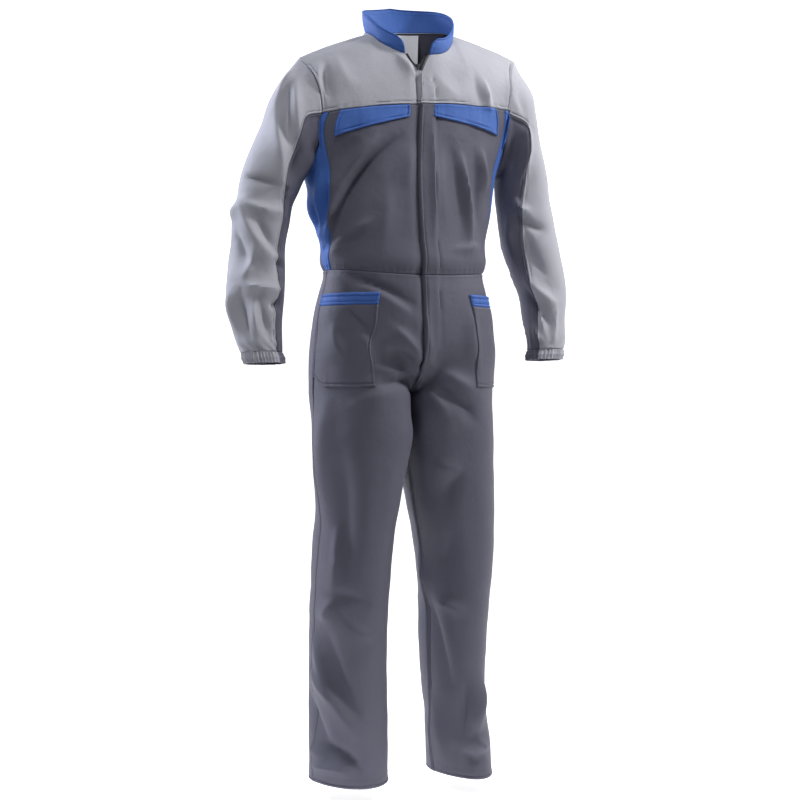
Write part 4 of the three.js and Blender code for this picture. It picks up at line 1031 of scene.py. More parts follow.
class Maker:
    """Turns forms into dressed objects."""

    @staticmethod
    def adopt(
        piece: bpy.types.Object, finish: Finish, body: str = SUIT, replaces: str = ""
    ) -> None:
        """Gives a piece its finish and its body, and hides the node it stands for."""
        if not piece.data.materials:
            piece.data.materials.append(finish.material())
        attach(piece, body)
        if replaces:
            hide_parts(replaces)
        LOG.info("%s: %d faces", piece.name, len(piece.data.polygons))

    @staticmethod
    def mesh(name: str, points: Array, faces: list[list[int]]) -> bpy.types.Object:
        """An object of a mesh in millimetres."""
        data = bpy.data.meshes.new(name)
        data.from_pydata((points * METRE).tolist(), [], faces)
        data.update()
        return linked(name, data)

    def cloth(
        self,
        name: str,
        panel: Panel,
        finish: Finish,
        wall: float = CLOTH_WALL,
        held: str = "hung",
        inner_finish: Finish | None = None,
        rests_on: Sequence[str] = (),
    ) -> bpy.types.Object:
        """Makes a panel's cloth, with a wall and a weave map; its flat cut is worked out but not used.

        Args:
            name: The node that the cloth stands for, which also names it.
            panel: The finished grid.
            finish: The outer finish.
            wall: Thickness.
            held: How the sheet is held; not used.
            inner_finish: Another finish for the inner side.
            rests_on: What the sheet lies on; not used.

        Returns:
            The piece.
        """
        rows, columns = panel.points.shape[:2]
        index = np.arange(rows * columns).reshape(rows, columns)
        corners = (index[:-1, :-1], index[1:, :-1], index[1:, 1:], index[:-1, 1:])
        faces = np.stack(corners, axis=-1).reshape(-1, 4)
        flat = panel.points.reshape(-1, 3)
        corner, second, third = (flat[faces[:, i]] for i in range(3))
        facing = np.cross(second - corner, third - corner)
        if np.sum(facing * panel.normals.reshape(-1, 3)[faces[:, 0]]) < 0:
            faces = faces[:, ::-1]
        piece = self.mesh(name + "_cloth", flat, faces.tolist())
        across, down = arc(panel.points, 1), arc(panel.points, 0)
        weave = np.stack([across - across[:, columns // 2 : columns // 2 + 1], -down], axis=-1)
        layer = piece.data.uv_layers.new(name="weave")
        layer.data.foreach_set("uv", (weave.reshape(-1, 2)[faces.ravel()] * METRE).ravel())
        piece.data.materials.append(finish.material())
        if inner_finish:
            piece.data.materials.append(inner_finish.material())
        solid = piece.modifiers.new("wall", "SOLIDIFY")
        solid.thickness = wall * METRE
        solid.offset = -1
        solid.material_offset = 1 if inner_finish else 0
        self.apply(piece)
        self.adopt(piece, finish, replaces=name)
        wide, long, area = panel.flat_size()
        return piece

    @staticmethod
    def select(piece: bpy.types.Object) -> None:
        """Makes one piece the only selected and active one."""
        bpy.ops.object.select_all(action="DESELECT")
        piece.select_set(True)
        bpy.context.view_layer.objects.active = piece

    @classmethod
    def apply(cls, piece: bpy.types.Object, smooth_angle: float = 50) -> None:
        """Applies every modifier and shades the piece smooth below an angle."""
        cls.select(piece)
        for modifier in list(piece.modifiers):
            bpy.ops.object.modifier_apply(modifier=modifier.name)
        bpy.ops.object.shade_smooth_by_angle(angle=math.radians(smooth_angle))


@dataclass
class Sewing:
    """Rows of stitches, gathered into one mesh for each thread."""

    pitch: float = 3.4
    length: float = 2.5
    wide: float = 0.85
    lift: float = 0.42
    runs: dict[Finish, list[tuple[Array, Array, Array]]] = field(default_factory=dict)

    def run(
        self, thread: Finish, line: tuple[Array, Array], start: float = 0.0, end: float = 1.0
    ) -> None:
        """Lays a row of stitches along a line on the cloth.

        Args:
            thread: The thread's finish.
            line: The line's points and normals.
            start: Share of the line where the row starts.
            end: Share of the line where it ends.
        """
        points, normals = line
        steps = np.linalg.norm(np.diff(points, axis=0), axis=1)
        length = np.concatenate([[0], np.cumsum(steps)])
        wanted = np.arange(start * length[-1] + self.pitch, end * length[-1] - self.length, self.pitch)
        if len(wanted) < 2:
            return
        at = np.stack([np.interp(wanted, length, points[:, i]) for i in range(3)], axis=1)
        ahead = np.stack([np.interp(wanted + 1, length, points[:, i]) for i in range(3)], axis=1)
        face = np.stack([np.interp(wanted, length, normals[:, i]) for i in range(3)], axis=1)
        face /= np.linalg.norm(face, axis=1, keepdims=True)
        along = ahead - at
        along /= np.maximum(np.linalg.norm(along, axis=1, keepdims=True), 1e-9)
        self.runs.setdefault(thread, []).append((at, along, face))

    def rows(self, thread: Finish, panel: Panel, *lines: tuple[int, float]) -> None:
        """Lays whole rows of stitches, each beside an edge at a distance from it."""
        for edge, distance in lines:
            self.run(thread, panel.line(edge, distance))

    def build(self, maker: Maker) -> None:
        """Makes each thread's mesh."""
        facets = [(0, 2, 4), (2, 1, 4), (1, 3, 4), (3, 0, 4)]
        facets += [(2, 0, 5), (1, 2, 5), (3, 1, 5), (0, 3, 5)]
        for thread, runs in self.runs.items():
            at, along, face = (np.concatenate(parts) for parts in zip(*runs))
            beside = np.cross(face, along)
            corners = np.stack(
                [
                    at - along * self.length / 2 - face * 0.1,
                    at + along * self.length / 2 - face * 0.1,
                    at - beside * self.wide / 2,
                    at + beside * self.wide / 2,
                    at + face * self.lift,
                    at - face * self.lift,
                ],
                axis=1,
            )
            offsets = np.arange(len(at))[:, None, None] * 6
            faces = (np.array(facets)[None] + offsets).reshape(-1, 3)
            piece = maker.mesh(f"sewing_{thread.value.name}", corners.reshape(-1, 3), faces.tolist())
            maker.adopt(piece, thread)


SEW = Sewing()
SIDES = {-1: "right", 1: "left"}
# How far rows of stitches lie from an edge
EDGE_ROW, LIP_ROW, BAND_ROW, TOP_ROW, WAIST_ROW, HEM_ROW = 1.8, 2.5, 4, 6, 11, 20
ALL_ROUND = [(edge, TOP_ROW) for edge in range(4)]
FLY_WIDE = 33.0


def groove(share: Array, middle: float, half: float, deep: float = 6.0) -> Array:
    """A deep narrow fall of the cloth beside the fly's edge."""
    return deep * np.exp(-(((share - middle) / half) ** 4))


def denser(share: Array, middle: float, half: float) -> Array:
    """The same column shares with more of them around a groove."""
    extra = middle + half * np.linspace(-1.6, 1.6, 11)
    return np.unique(np.concatenate([share[0], extra]))[None, :]


def fly_ridge(beside: Array, wide: Array | float) -> Array:
    """The fly's double cloth, which ends in a sewn step at its width."""
    step = 2.4 * (1 - smooth(beside, wide - 1.5, wide + 1.5))
    channel = 1.8 * np.exp(-(((beside - wide - 2) / 2) ** 2))
    swell = 0.8 * np.exp(-(((beside - wide + 5) / 3) ** 2))
    return step - channel + swell


def grid(width: float, height: float, step: float = 4.5) -> tuple[Array, Array]:
    """Column and row shares for a panel of about this size."""
    return spaced(width, step)[None, :], spaced(height, step)[:, None]


@dataclass
class UpperBody:
    """Fronts, back, side panels, chest flaps, yokes and collar."""

    maker: Maker
    blouse: float = 3.0
    right_underlap: float = -0.078
    front_groove: tuple[float, float] = (0.01, 0.012)
    yoke_groove: tuple[float, float] = (0.034, 0.012)

    def waist_blouse(self, panel: Panel) -> Array:
        """How the cloth puffs over the waist seam, with its gathers."""
        _, above, across, _ = panel.distances()
        puff = self.blouse * np.exp(-(((above - 20) / 16) ** 2)) * smooth(above, 0, 10)
        gathers = np.sin(across / 2.1 + 2 * np.sin(across / 37)) * np.exp(-(((above - 8) / 5) ** 2))
        return puff * (0.8 + 0.2 * np.sin(across / 23)) + 0.8 * gathers

    def dress(self, panel: Panel, blouse: bool = True) -> Panel:
        """Lays folds, ripples, the blouse over the waist and the sewn edges on a panel."""
        panel.hang()
        if blouse:
            panel.move(self.waist_blouse(panel))
        return panel.sewn()

    def front(self, side: int) -> None:
        """A front panel; the left one carries the fly and laps over the right one."""
        share, fall = grid(240, 330)
        share = lerp(self.right_underlap if side < 0 else -0.006, 1, share)
        if side < 0:
            share = denser(share, *self.front_groove)
        top_angle = share * float(SIDE_PANEL_EDGE.read(YOKE_SIDE_Z, "angle"))
        z = lerp(BodyForm.yoke_seam(top_angle), BodyForm.waist(share * PANEL_WAIST_ANGLE), fall)
        points = BodyForm.surface(side * share * SIDE_PANEL_EDGE.read(z, "angle"), z)
        edges = (Edge.SEAM, Edge.SEAM, Edge.FOLDED, Edge.SEAM)
        panel = Panel(points, edges)
        if side < 0:
            lap = LAP_DEPTH * (1 - smooth(share, 0.035, FLAP_INNER))
            panel.move(-(lap + groove(share, *self.front_groove)) * np.ones_like(fall))
        else:
            _, _, beside, _ = panel.distances()
            panel.move(fly_ridge(beside, FLY_WIDE))
        self.dress(panel)
        self.maker.cloth(f"front_{SIDES[side]}", panel, Finish.DARK)
        SEW.rows(Finish.DARK_THREAD_PAINTED_SHADE, panel, (1, WAIST_ROW), (3, TOP_ROW))
        if side > 0:
            SEW.rows(Finish.DARK_THREAD_PAINTED_SHADE, panel, (2, FLY_WIDE), (2, LIP_ROW))

    def flap(self, side: int) -> None:
        """A chest flap on its front panel, with its lower edge standing off a little."""
        across, fall = grid(160, 45, 3.5)
        share = lerp(FLAP_INNER, FLAP_OUTER, across)
        top = BodyForm.yoke_seam(share * float(SIDE_PANEL_EDGE.read(YOKE_SIDE_Z, "angle")))
        drop = lerp(FLAP_INNER_DROP, FLAP_OUTER_DROP, across)
        z = top - 0.4 - (drop - 0.8) * fall
        points = BodyForm.surface(side * share * SIDE_PANEL_EDGE.read(z, "angle"), z)
        panel = Panel(points, (Edge.SEAM, Edge.FOLDED, Edge.FOLDED, Edge.FOLDED))
        panel.hang()
        wave = 0.8 * np.sin(across * 9 + side) + 0.5 * np.sin(across * 23)
        panel.move(OVERLAY_TOP + 0.2 + fall**2 * (1.6 + wave))
        name, below = f"chest_flap_{SIDES[side]}", f"front_{SIDES[side]}"
        self.maker.cloth(name, panel.sewn(), Finish.BLUE, rests_on=[below])
        SEW.rows(Finish.BLUE_THREAD_PAINTED_SHADE, panel, *ALL_ROUND)

    def back(self) -> None:
        """The back panel."""
        across, fall = grid(430, 330)
        across = across * 2 - 1
        reach, side = np.abs(across), np.where(across < 0, -1, 1)
        top = BodyForm.yoke_seam(180 - PANEL_TOP_ANGLE * reach)
        z = lerp(top, BodyForm.waist(180 - PANEL_WAIST_ANGLE * reach), fall)
        angle = side * (180 - reach * SIDE_PANEL_EDGE.read(z, "angle"))
        panel = self.dress(Panel(BodyForm.surface(angle, z)))
        self.maker.cloth("back", panel, Finish.DARK)
        SEW.rows(Finish.DARK_THREAD_PAINTED_SHADE, panel, (1, WAIST_ROW), (0, TOP_ROW))

    def side_panel(self, side: int) -> None:
        """A side panel under the armhole."""
        across, fall = grid(170, 260)
        across = across * 2 - 1
        corner = 1 - np.abs(across)
        forward = np.where(across < 0, 1, -1)
        low = np.clip((corner - PANEL_CORNER) / (1 - PANEL_CORNER), 0, 1)
        at_yoke = corner < PANEL_CORNER
        edge_angle = lerp(PANEL_TOP_ANGLE, YOKE_SIDE_ANGLE, np.clip(corner / PANEL_CORNER, 0, 1))
        top_angle = np.where(at_yoke, edge_angle, ARMHOLE_LOW.read(low, "angle"))
        seam_z = BodyForm.yoke_seam(np.where(forward > 0, top_angle, 180 - top_angle))
        top_z = np.where(at_yoke, seam_z, ARMHOLE_LOW.read(low, "z"))
        top_share = forward * (90 - top_angle) / (90 - SIDE_PANEL_EDGE.read(top_z, "angle"))
        z = lerp(top_z, BodyForm.waist(90 + across * (90 - PANEL_WAIST_ANGLE)), fall)
        reach = lerp(top_share, -across, fall)
        angle = 90 - reach * (90 - SIDE_PANEL_EDGE.read(z, "angle"))
        panel = Panel(BodyForm.surface(side * angle, z), heart=(0, 0, -380), scooped=True)
        self.dress(panel)
        self.maker.cloth(f"side_panel_{SIDES[side]}", panel, Finish.BLUE)

    def yoke_front(self, side: int) -> None:
        """A front yoke."""
        share, rise = grid(250, 150)
        if side < 0:
            share = denser(share, *self.yoke_groove)
        points = BodyForm.yoke_front(side, share, rise)
        edges = (Edge.TOPSTITCHED, Edge.SEAM, Edge.FOLDED, Edge.TOPSTITCHED)
        panel = Panel(points, edges, (0, 0, -220))
        if side < 0:
            lap = LAP_DEPTH * (1 - smooth(share, 0.04, EDGE_SHARE))
            under = lap + groove(share, *self.yoke_groove)
            panel.move(-under * (1 - 0.8 * smooth(rise, 0.6, 0.9)))
        else:
            _, _, beside, _ = panel.distances()
            panel.move(fly_ridge(beside, FLY_WIDE) * (1 - smooth(rise, 0.5, 0.8)))
        self.dress(panel, blouse=False)
        self.maker.cloth(f"yoke_front_{SIDES[side]}", panel, Finish.LIGHT, inner_finish=Finish.DARK)
        for distance in (EDGE_ROW, TOP_ROW):
            SEW.rows(Finish.LIGHT_THREAD_PAINTED_SHADE, panel, (3, distance), (0, distance))
        if side > 0:
            SEW.rows(Finish.LIGHT_THREAD_PAINTED_SHADE, panel, (2, LIP_ROW))

    def yoke_back(self) -> None:
        """The back yoke, with the dark finish on its inner side, seen inside the neck."""
        share, rise = grid(520, 160, 5)
        panel = Panel(
            BodyForm.yoke_back(share * 2 - 1, rise),
            (Edge.TOPSTITCHED, Edge.SEAM, Edge.TOPSTITCHED, Edge.TOPSTITCHED),
            (0, 0, -220),
        )
        self.dress(panel, blouse=False)
        self.maker.cloth("yoke_back", panel, Finish.LIGHT, inner_finish=Finish.DARK)
        for edge in (2, 3):
            SEW.rows(Finish.LIGHT_THREAD_PAINTED_SHADE, panel, (edge, EDGE_ROW), (edge, TOP_ROW))
        SEW.rows(Finish.LIGHT_THREAD_PAINTED_SHADE, panel, (0, TOP_ROW))

    def collar(self) -> None:
        """The stand collar."""
        share, rise = grid(500, 45, 3.5)
        set_back = 5 * rise**3
        angle = lerp(COLLAR_START + set_back, COLLAR_END - set_back, share)
        turned = np.abs(np.where(angle > 180, angle - 360, angle))
        height = NECK_SEAM.read(turned, "collar")
        end = np.minimum(share, 1 - share)
        rounded = 1 - 0.16 * (1 - smooth(end, 0, 0.02)) * rise**2
        base = BodyForm.sway(BodyForm.neck(angle))
        out = place(sin(angle), -cos(angle), 0 * angle)
        up = place(0, 0, np.full_like(angle, cos(COLLAR_LEAN))) + out * sin(COLLAR_LEAN)
        curl = 2.5 * np.sin(np.pi * rise) + 2 * np.exp(-end / 0.03) * rise**2
        wave = 1.2 * np.sin(share * 40) * np.exp(-end / 0.08) * rise
        tall = lerp(-1.5, 1 + height, rise) - (1 - rounded) * height
        points = base + up * tall[..., None] + out * (curl + wave)[..., None]
        edges = (Edge.SEAM, Edge.FOLDED, Edge.FOLDED, Edge.FOLDED)
        panel = Panel(points, edges, (NECK_X, NECK_Y, 0))
        panel.move(0.4 * ripple(panel.points))
        self.maker.cloth("collar", panel.sewn(), Finish.BLUE, wall=1.6)
        SEW.rows(Finish.BLUE_THREAD_PAINTED_SHADE, panel, *ALL_ROUND)

    def build(self) -> None:
        """Builds the upper body."""
        for side in SIDES:
            self.front(side)
            self.flap(side)
            self.side_panel(side)
            self.yoke_front(side)
        self.back()
        self.yoke_back()
        self.collar()


@dataclass
class Sleeves:
    """Both sleeves and their elastic cuffs."""

    maker: Maker
    gather: float = 1.92

    def dress(self, form: SleeveForm, angle: Array, row: Array, thread: bool) -> Panel:
        """Lays folds and sewn edges on a stretch of sleeve."""
        points = form.surface(angle, row)
        heart = tuple(form.heart(6.0))
        edges = (Edge.SEAM, Edge.SEAM, Edge.TOPSTITCHED, Edge.TOPSTITCHED)
        panel = Panel(points, edges, heart, scooped=True)
        centre = np.stack([form.heart(float(r)) for r in row[:, 0]])[:, None, :]
        outward = np.sum(panel.normals * (panel.points - centre), axis=-1)
        if np.sum(outward) < 0:
            panel.normals = -panel.normals
        sign = panel.normals
        _, above, across, _ = panel.distances()
        fade = smooth(row, 0, 1.2) * np.ones_like(angle)
        pleats = np.sin(across / 3.4 + 2 * np.sin(across / 29)) * np.exp(-above / 30)
        puckers = pleats * (0.7 + 0.3 * np.sin(across / 13)) * smooth(row, 9, 11)
        panel.move(fade * (FOLDS.height(points, sign) + ripple(points)) + self.gather * puckers)
        panel.sew_edges()
        normals = panel.find_normals()
        panel.normals = normals if np.sum(normals * sign) > 0 else -normals
        if thread:
            SEW.rows(Finish.LIGHT_THREAD_PAINTED_SHADE, panel, (2, LIP_ROW), (3, LIP_ROW))
        return panel

    def sleeve(self, side: int) -> None:
        """The upper and under sleeve of one side."""
        form = SleeveForm(side)
        share, down = grid(300, 560, 4.8)
        row = down * SLEEVE_SECTIONS
        seam = form.seam(row)
        upper = self.dress(form, lerp(-seam, seam, share), row, True)
        self.maker.cloth(f"sleeve_upper_{SIDES[side]}", upper, Finish.LIGHT)
        share, _ = grid(170, 560, 4.8)
        under = self.dress(form, lerp(seam, 360 - seam, share), row, False)
        self.maker.cloth(f"sleeve_under_{SIDES[side]}", under, Finish.DARK)
        end = float(form.seam(SLEEVE_SECTIONS))
        self.cuff(form, "upper", Finish.LIGHT, -end, end, CUFF_GATHERS)
        self.cuff(form, "under", Finish.DARK, end, 360 - end, 6)

    def cuff(
        self, form: SleeveForm, part: str, finish: Finish, start: float, stop: float, gathers: int
    ) -> None:
        """A stretch of elastic casing, gathered all round."""
        share = np.linspace(0, 1, gathers * 6 + 1)[None, :]
        fall = spaced(CUFF_CASING, 1.8)[:, None]
        angle = lerp(start, stop, share)
        edge = form.surface(angle, np.full_like(angle, float(SLEEVE_SECTIONS)))
        heart, before = form.heart(13.0), form.heart(12.5)
        down = (heart - before) / np.linalg.norm(heart - before)
        out = edge - heart
        out /= np.linalg.norm(out, axis=-1, keepdims=True)
        drift = 0.35 * np.sin(share * 31) + 0.2 * np.sin(share * 57)
        wave = np.cos(2 * np.pi * gathers * (share + 0.012 * drift))
        deep = 1.0 + 0.35 * np.sin(share * gathers * 1.7)
        calm = smooth(np.minimum(share, 1 - share), 0, 0.04)
        swell = 2 * np.sin(np.pi * fall) + 1.6 * deep * wave * calm
        band = 0.5 * np.cos(fall * 4 * np.pi) * np.ones_like(share)
        reach = 0.4 + CUFF_CASING * fall + 0.5 * drift
        points = edge + down * reach[..., None] + out * (swell + band)[..., None]
        panel = Panel(points, (Edge.SEAM, Edge.FOLDED, Edge.SEAM, Edge.SEAM), tuple(heart))
        name = f"cuff_{part}_{SIDES[form.side]}"
        self.maker.cloth(name, panel, finish, held="gathered")

    def build(self) -> None:
        """Builds both sleeves."""
        for side in SIDES:
            self.sleeve(side)


@dataclass
class Trousers:
    """Fronts, backs, patch pockets and their bands."""

    maker: Maker
    front_groove: tuple[float, float] = (0.004, 0.011)
    groove_columns: tuple[float, float] = (0.045, 0.03)
    fly_round_z: float = -635.0
    fly_round: float = 50.0

    def around(self, side: int, share: Array, z: Array, spread: bool) -> Array:
        """Where a front panel's share lies around the leg."""
        under = -LAP.read(z, "under") if side < 0 else -0.002 * LAP.read(z, "depth")
        wider = POCKET_SPREAD.read(z, "amount") * np.sin(np.pi * share) if spread else 0
        return lerp(under, 1 - VENT.read(z, "half"), share) + wider

    def front(self, side: int) -> None:
        """A trouser front."""
        form = LegForm(side)
        share, fall = grid(280, 1040, 5.5)
        if side < 0:
            share = denser(share, *self.groove_columns)
        around = self.around(side, share, lerp(WAIST_SIDE_Z, HEM_Z, fall), False)
        z = lerp(BodyForm.waist(share * 90), HEM_Z, fall)
        points = form.surface(around, z)
        edges = (Edge.SEAM, Edge.FOLDED, Edge.TOPSTITCHED, Edge.SEAM)
        panel = Panel(points, edges, (side * 100, 0, -800))
        if side < 0:
            lap = LAP_DEPTH * (1 - smooth(around, 0.015, 0.065))
            panel.move(-(lap + groove(around, *self.front_groove)) * LAP.read(z, "depth"))
        else:
            _, _, beside, _ = panel.distances()
            past = np.clip(self.fly_round_z - z, 0, None) / self.fly_round
            rounded = np.sqrt(np.clip(1 - past**2, 0, 1))
            panel.move(fly_ridge(beside, FLY_WIDE * rounded) * smooth(rounded, 0, 0.3))
        panel.hang().sewn()
        self.maker.cloth(f"trouser_front_{SIDES[side]}", panel, Finish.DARK)
        SEW.rows(Finish.DARK_THREAD_PAINTED_SHADE, panel, (0, TOP_ROW), (1, HEM_ROW))
        SEW.run(Finish.DARK_THREAD_PAINTED_SHADE, panel.line(2, TOP_ROW), 0.24)
        if side > 0:
            SEW.run(Finish.DARK_THREAD_PAINTED_SHADE, panel.line(2, FLY_WIDE), 0, 0.16)

    def back(self, side: int) -> None:
        """A trouser back."""
        form = LegForm(side)
        share, fall = grid(290, 1030, 5.5)
        z = lerp(WAIST_SIDE_Z, HEM_Z, fall) * np.ones_like(share)
        around = lerp(1 + VENT.read(z, "half") * 0.5, 2, share)
        edges = (Edge.SEAM, Edge.FOLDED, Edge.SEAM, Edge.TOPSTITCHED)
        panel = Panel(form.surface(around, z), edges, (side * 100, 0, -800)).hang().sewn()
        self.maker.cloth(f"trouser_back_{SIDES[side]}", panel, Finish.DARK)
        SEW.rows(Finish.DARK_THREAD_PAINTED_SHADE, panel, (0, TOP_ROW), (1, HEM_ROW), (3, TOP_ROW), (2, TOP_ROW))

    def patch(
        self, side: int, share: Array, z: Array, edges: tuple[Edge, Edge, Edge, Edge]
    ) -> Panel:
        """A piece that lies on the trouser front."""
        around = self.around(side, share, z, True)
        panel = Panel(LegForm(side).surface(around, z), edges, (side * 100, 0, -700))
        return panel.hang(OVERLAY_TOP).sewn()

    def pocket(self, side: int) -> None:
        """A patch pocket and the band along its mouth."""
        share, fall = grid(190, 160, 4)
        share = lerp(POCKET_INNER + 0.002, 0.998, share)
        corner = POCKET_CORNER_RISE * smooth(share, 0.76, 1)
        z = lerp(POCKET_BAND_BOTTOM - 0.4, POCKET_BOTTOM + corner, fall)
        folded = (Edge.SEAM, Edge.FOLDED, Edge.FOLDED, Edge.FOLDED)
        panel = self.patch(side, share, z, folded)
        panel.move(1.2 * np.exp(-(fall / 0.2) ** 2) * np.sin(np.pi * share))
        below = f"trouser_front_{SIDES[side]}"
        self.maker.cloth(f"hip_pocket_{SIDES[side]}", panel, Finish.DARK, rests_on=[below])
        for edge in (1, 2, 3):
            SEW.rows(Finish.DARK_THREAD_PAINTED_SHADE, panel, (edge, EDGE_ROW), (edge, TOP_ROW))
        share, fall = grid(190, 23, 3.5)
        share = lerp(POCKET_INNER + 0.002, 0.998, share)
        z = lerp(POCKET_BAND_TOP, POCKET_BAND_BOTTOM, fall) * np.ones_like(share)
        band = self.patch(side, share, z, (Edge.FOLDED,) * 4)
        band.move(0.4 + 1.4 * (1 - fall) * np.sin(np.pi * share))
        self.maker.cloth(f"pocket_band_{SIDES[side]}", band, Finish.BLUE, rests_on=[below])
        SEW.rows(Finish.BLUE_THREAD_PAINTED_SHADE, band, (0, BAND_ROW), (1, BAND_ROW))

    def build(self) -> None:
        """Builds the trousers."""
        for side in SIDES:
            self.front(side)
            self.back(side)
            self.pocket(side)


@dataclass
class ZipFront:
    """Label, facings, tapes, teeth, slider and pull tab."""

    maker: Maker
    facing_past: float = 2.5
    tape_past: float = 8.0
    under: float = 7.0
    tooth_pitch: float = 1.6
    label_x: float = 33.0
    label_half: float = 31.0
    label_top: float = 10.0
    label_high: float = 62.0
    label_inside: float = 4.8

    def strip(self, side: int, start: float, past: float, depth: float, count: int) -> Panel:
        """A strip beside the neck opening, from under the cloth's edge to past it."""
        share = lerp(start, EDGE_SHARE, np.linspace(0, 1, count))
        edge = BodyForm.yoke_front(side, share, np.ones(count))
        below = BodyForm.yoke_front(side, share, np.full(count, 0.8))
        along = below - edge
        along /= np.linalg.norm(along, axis=1, keepdims=True)
        run = np.gradient(edge, axis=0)
        run /= np.linalg.norm(run, axis=1, keepdims=True)
        inward = np.cross(run, along)
        inward /= np.linalg.norm(inward, axis=1, keepdims=True)
        square = np.cross(inward, run)
        along = square * np.sign(np.sum(square * along, axis=1, keepdims=True))
        if inward[0, 1] < 0:
            inward = -inward
        lap = LAP_DEPTH * (1 - smooth(share, 0.04, EDGE_SHARE)) if side < 0 else np.zeros(count)
        reach = np.linspace(self.under, -past, 9)
        base = edge + inward * (depth + lap)[:, None]
        points = base[:, None, :] + along[:, None, :] * reach[None, :, None]
        return Panel(points, (Edge.PLAIN,) * 4, (0, 300, -80))

    def label(self) -> None:
        """The bare label inside the back neck."""
        across, fall = np.linspace(-1, 1, 25)[None, :], np.linspace(0, 1, 25)[:, None]
        x = self.label_x + self.label_half * across
        sine = (x - NECK_X) / NECK_HALF_WIDE
        y = NECK_Y + NECK_HALF_DEEP * np.sqrt(1 - sine * sine) - self.label_inside + 5 * fall
        y = y + 0.7 * np.sin(across * 3 + fall * 2) * fall
        points = place(x, y, self.label_top - self.label_high * fall)
        panel = Panel(points, (Edge.PLAIN,) * 4, (self.label_x, 200, -20))
        self.maker.cloth("neck_label", panel, Finish.LABEL, wall=0.6)

    def teeth(self, side: int, tape: Panel) -> None:
        """The zip's teeth, one tooth copied along the tape's edge."""
        line, normals = tape.line(3, 0.4)
        steps = np.linalg.norm(np.diff(line, axis=0), axis=1)
        length = np.concatenate([[0], np.cumsum(steps)])
        at = np.arange(0.8, length[-1] - 0.5, self.tooth_pitch)
        spots = np.stack([np.interp(at, length, line[:, i]) for i in range(3)], axis=1)
        bpy.ops.object.select_all(action="DESELECT")
        bpy.ops.mesh.primitive_cube_add(size=1)
        tooth = bpy.context.active_object
        bpy.ops.object.mode_set(mode="EDIT")
        bpy.ops.mesh.bevel(offset=0.18, segments=1, affect="EDGES")
        bpy.ops.object.mode_set(mode="OBJECT")
        base = np.array([v.co for v in tooth.data.vertices]) * (2.2, 1.5, 0.9)
        faces = [list(p.vertices) for p in tooth.data.polygons]
        bpy.data.objects.remove(tooth)
        points, all_faces = [], []
        for spot in spots:
            start = len(points) * len(base)
            points.append(base + spot)
            all_faces += [[i + start for i in face] for face in faces]
        piece = self.maker.mesh(f"zip_teeth_{SIDES[side]}", np.concatenate(points), all_faces)
        self.maker.adopt(piece, Finish.METAL)

    def slider(self) -> None:
        """The slider and its pull tab, shaped from primitives inside their nodes' boxes."""
        low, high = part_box("zip_slider")
        middle, size = (low + high) / 2, high - low
        piece = self.block("zip_slider_body", middle, size)
        bpy.ops.object.mode_set(mode="EDIT")
        bpy.ops.mesh.subdivide(number_cuts=2)
        bpy.ops.object.mode_set(mode="OBJECT")
        for vertex in piece.data.vertices:
            share = (vertex.co.z - low.z) / size.z
            vertex.co.x = middle.x + (vertex.co.x - middle.x) * (0.62 + 0.38 * share)
        self.finish_block(piece, "zip_slider", SUIT)
        low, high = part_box("zip_pull_tab")
        middle, size = (low + high) / 2, high - low
        tab = self.block("zip_pull_tab_plate", middle, size)
        bpy.ops.object.mode_set(mode="EDIT")
        bpy.ops.mesh.select_all(action="DESELECT")
        bpy.ops.mesh.select_mode(type="FACE")
        bpy.ops.object.mode_set(mode="OBJECT")
        for face in tab.data.polygons:
            face.select = abs(face.normal.y) > 0.9
        bpy.ops.object.mode_set(mode="EDIT")
        bpy.ops.mesh.inset(thickness=0.0011, depth=0)
        bpy.ops.mesh.inset(thickness=0.0003, depth=-0.0003)
        bpy.ops.object.mode_set(mode="OBJECT")
        self.finish_block(tab, "zip_pull_tab", "zip_pull")

    @staticmethod
    def block(name: str, middle: Sequence[float], size: Sequence[float]) -> bpy.types.Object:
        """A block at its size and place, with its object at the origin."""
        bpy.ops.object.select_all(action="DESELECT")
        bpy.ops.mesh.primitive_cube_add(size=1)
        piece = bpy.context.active_object
        piece.name = name
        for vertex in piece.data.vertices:
            vertex.co = [m + c * s for m, c, s in zip(middle, vertex.co, size)]
        return piece

    def finish_block(self, piece: bpy.types.Object, node: str, body: str) -> None:
        """Rounds a block's edges and adopts it."""
        bevel = piece.modifiers.new("rounded", "BEVEL")
        bevel.width = 0.0005
        bevel.segments = 2
        bevel.limit_method = "ANGLE"
        self.maker.apply(piece, 40)
        self.maker.adopt(piece, Finish.METAL, body, node)

    def build(self) -> None:
        """Builds the zip front."""
        self.label()
        for side, name in SIDES.items():
            facing = self.strip(side, 0.02, self.facing_past, 2.6, 30)
            self.maker.cloth(f"facing_{name}", facing, Finish.DARK, wall=0.8)
            tape = self.strip(side, 0.03, self.tape_past, 4.0, 30)
            self.maker.cloth(f"zip_tape_{name}", tape, Finish.TAPE, wall=0.8)
            self.teeth(side, tape)
        self.slider()


@dataclass(frozen=True)
class Lamp:
    """A soft square light, by where it stands around the suit, in metres and watts."""

    name: str
    azimuth: float
    height: float
    away: float
    size: float
    power: float
    tint: tuple[float, float, float] = (1.0, 1.0, 1.0)


LAMPS = (
    Lamp("front_fill", -50, 0.75, 2.2, 0.8, 14, (0.97, 0.98, 1.0)),
    Lamp("front_key", 58, 1.0, 1.9, 0.4, 47, (1.0, 0.99, 0.99)),
    Lamp("top", -20, 1.7, 1.3, 0.5, 16),
    Lamp("left_hand_side", 92, 0.7, 1.6, 0.6, 13),
    Lamp("right_hand_rim", -132, 0.5, 1.9, 0.7, 48, (0.84, 0.87, 1.0)),
)


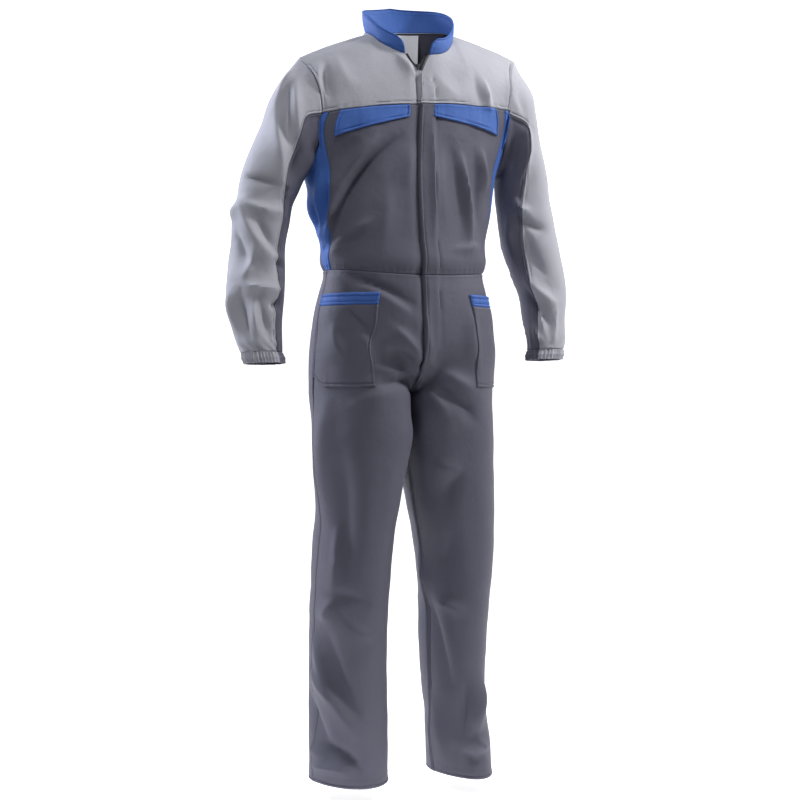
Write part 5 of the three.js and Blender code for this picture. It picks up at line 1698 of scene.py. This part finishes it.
@dataclass
class Studio:
    """Camera, pale floor and soft lights."""

    camera_distance: float = 4.0
    azimuth: float = -25.0
    lens: float = 87.6
    target: tuple[float, float, float] = (-0.0056, 0.0026, -0.754)
    floor_z: float = -1.56

    def camera(self) -> None:
        """A level camera at the picture's angle."""
        data = bpy.data.cameras.new("camera")
        data.lens = self.lens
        data.sensor_width = 36
        data.clip_end = 60
        camera = linked("camera", data)
        turn = math.radians(self.azimuth)
        x, y, z = self.target
        away = self.camera_distance
        camera.location = (x + away * math.sin(turn), y - away * math.cos(turn), z)
        camera.rotation_euler = (math.radians(90), 0, turn)
        bpy.context.scene.camera = camera

    def floor(self) -> None:
        """A pale floor that sweeps up behind the suit."""
        rise = [(-0.7, 0.0), (5.0, 0.0)]
        rise += [(5 + 2 * math.sin(t), 2 - 2 * math.cos(t)) for t in np.linspace(0.1, math.pi / 2, 12)]
        rise += [(7.0, 6.0)]
        turn = math.radians(self.azimuth)
        points = []
        for along, up in rise:
            for across in (-14.0, 14.0):
                x = across * math.cos(turn) - along * math.sin(turn)
                y = across * math.sin(turn) + along * math.cos(turn)
                points.append((x, y, self.floor_z + up))
        faces = [(2 * i, 2 * i + 1, 2 * i + 3, 2 * i + 2) for i in range(len(rise) - 1)]
        data = bpy.data.meshes.new("floor")
        data.from_pydata(points, [], faces)
        floor = linked("floor", data)
        graph = Graph("pale_paper")
        graph.set(Base_Color=(0.9, 0.9, 0.9, 1), Roughness=0.9)
        graph.set(Emission_Color=(1, 1, 1, 1), Emission_Strength=0.85)
        data.materials.append(graph.material)
        for face in data.polygons:
            face.use_smooth = True

    def light(self, lamp: Lamp) -> None:
        """Makes a light that looks at the suit's middle."""
        data = bpy.data.lights.new(lamp.name, "AREA")
        data.shape = "SQUARE"
        data.size = lamp.size
        data.energy = lamp.power
        data.color = lamp.tint
        turn = math.radians(lamp.azimuth)
        made = linked(lamp.name, data)
        made.location = (lamp.away * math.sin(turn), -lamp.away * math.cos(turn), lamp.height)
        made.rotation_euler = (math.atan2(lamp.away, lamp.height - self.target[2]), 0, turn)

    def build(self) -> None:
        """Builds the studio."""
        self.camera()
        self.floor()
        for lamp in LAMPS:
            self.light(lamp)
        world = bpy.data.worlds.new("studio")
        world.use_nodes = True
        world.node_tree.nodes["Background"].inputs["Color"].default_value = (0.85, 0.87, 1, 1)
        world.node_tree.nodes["Background"].inputs["Strength"].default_value = 0.07
        bpy.context.scene.world = world
        bpy.context.scene.view_settings.view_transform = "Standard"


def main() -> None:
    """Builds the dressed suit and its studio."""
    logging.basicConfig(level=logging.INFO, format="%(name)s %(message)s")
    maker = Maker()
    UpperBody(maker).build()
    Sleeves(maker).build()
    Trousers(maker).build()
    ZipFront(maker).build()
    SEW.build(maker)
    Studio().build()


if __name__ == "__main__":
    main()
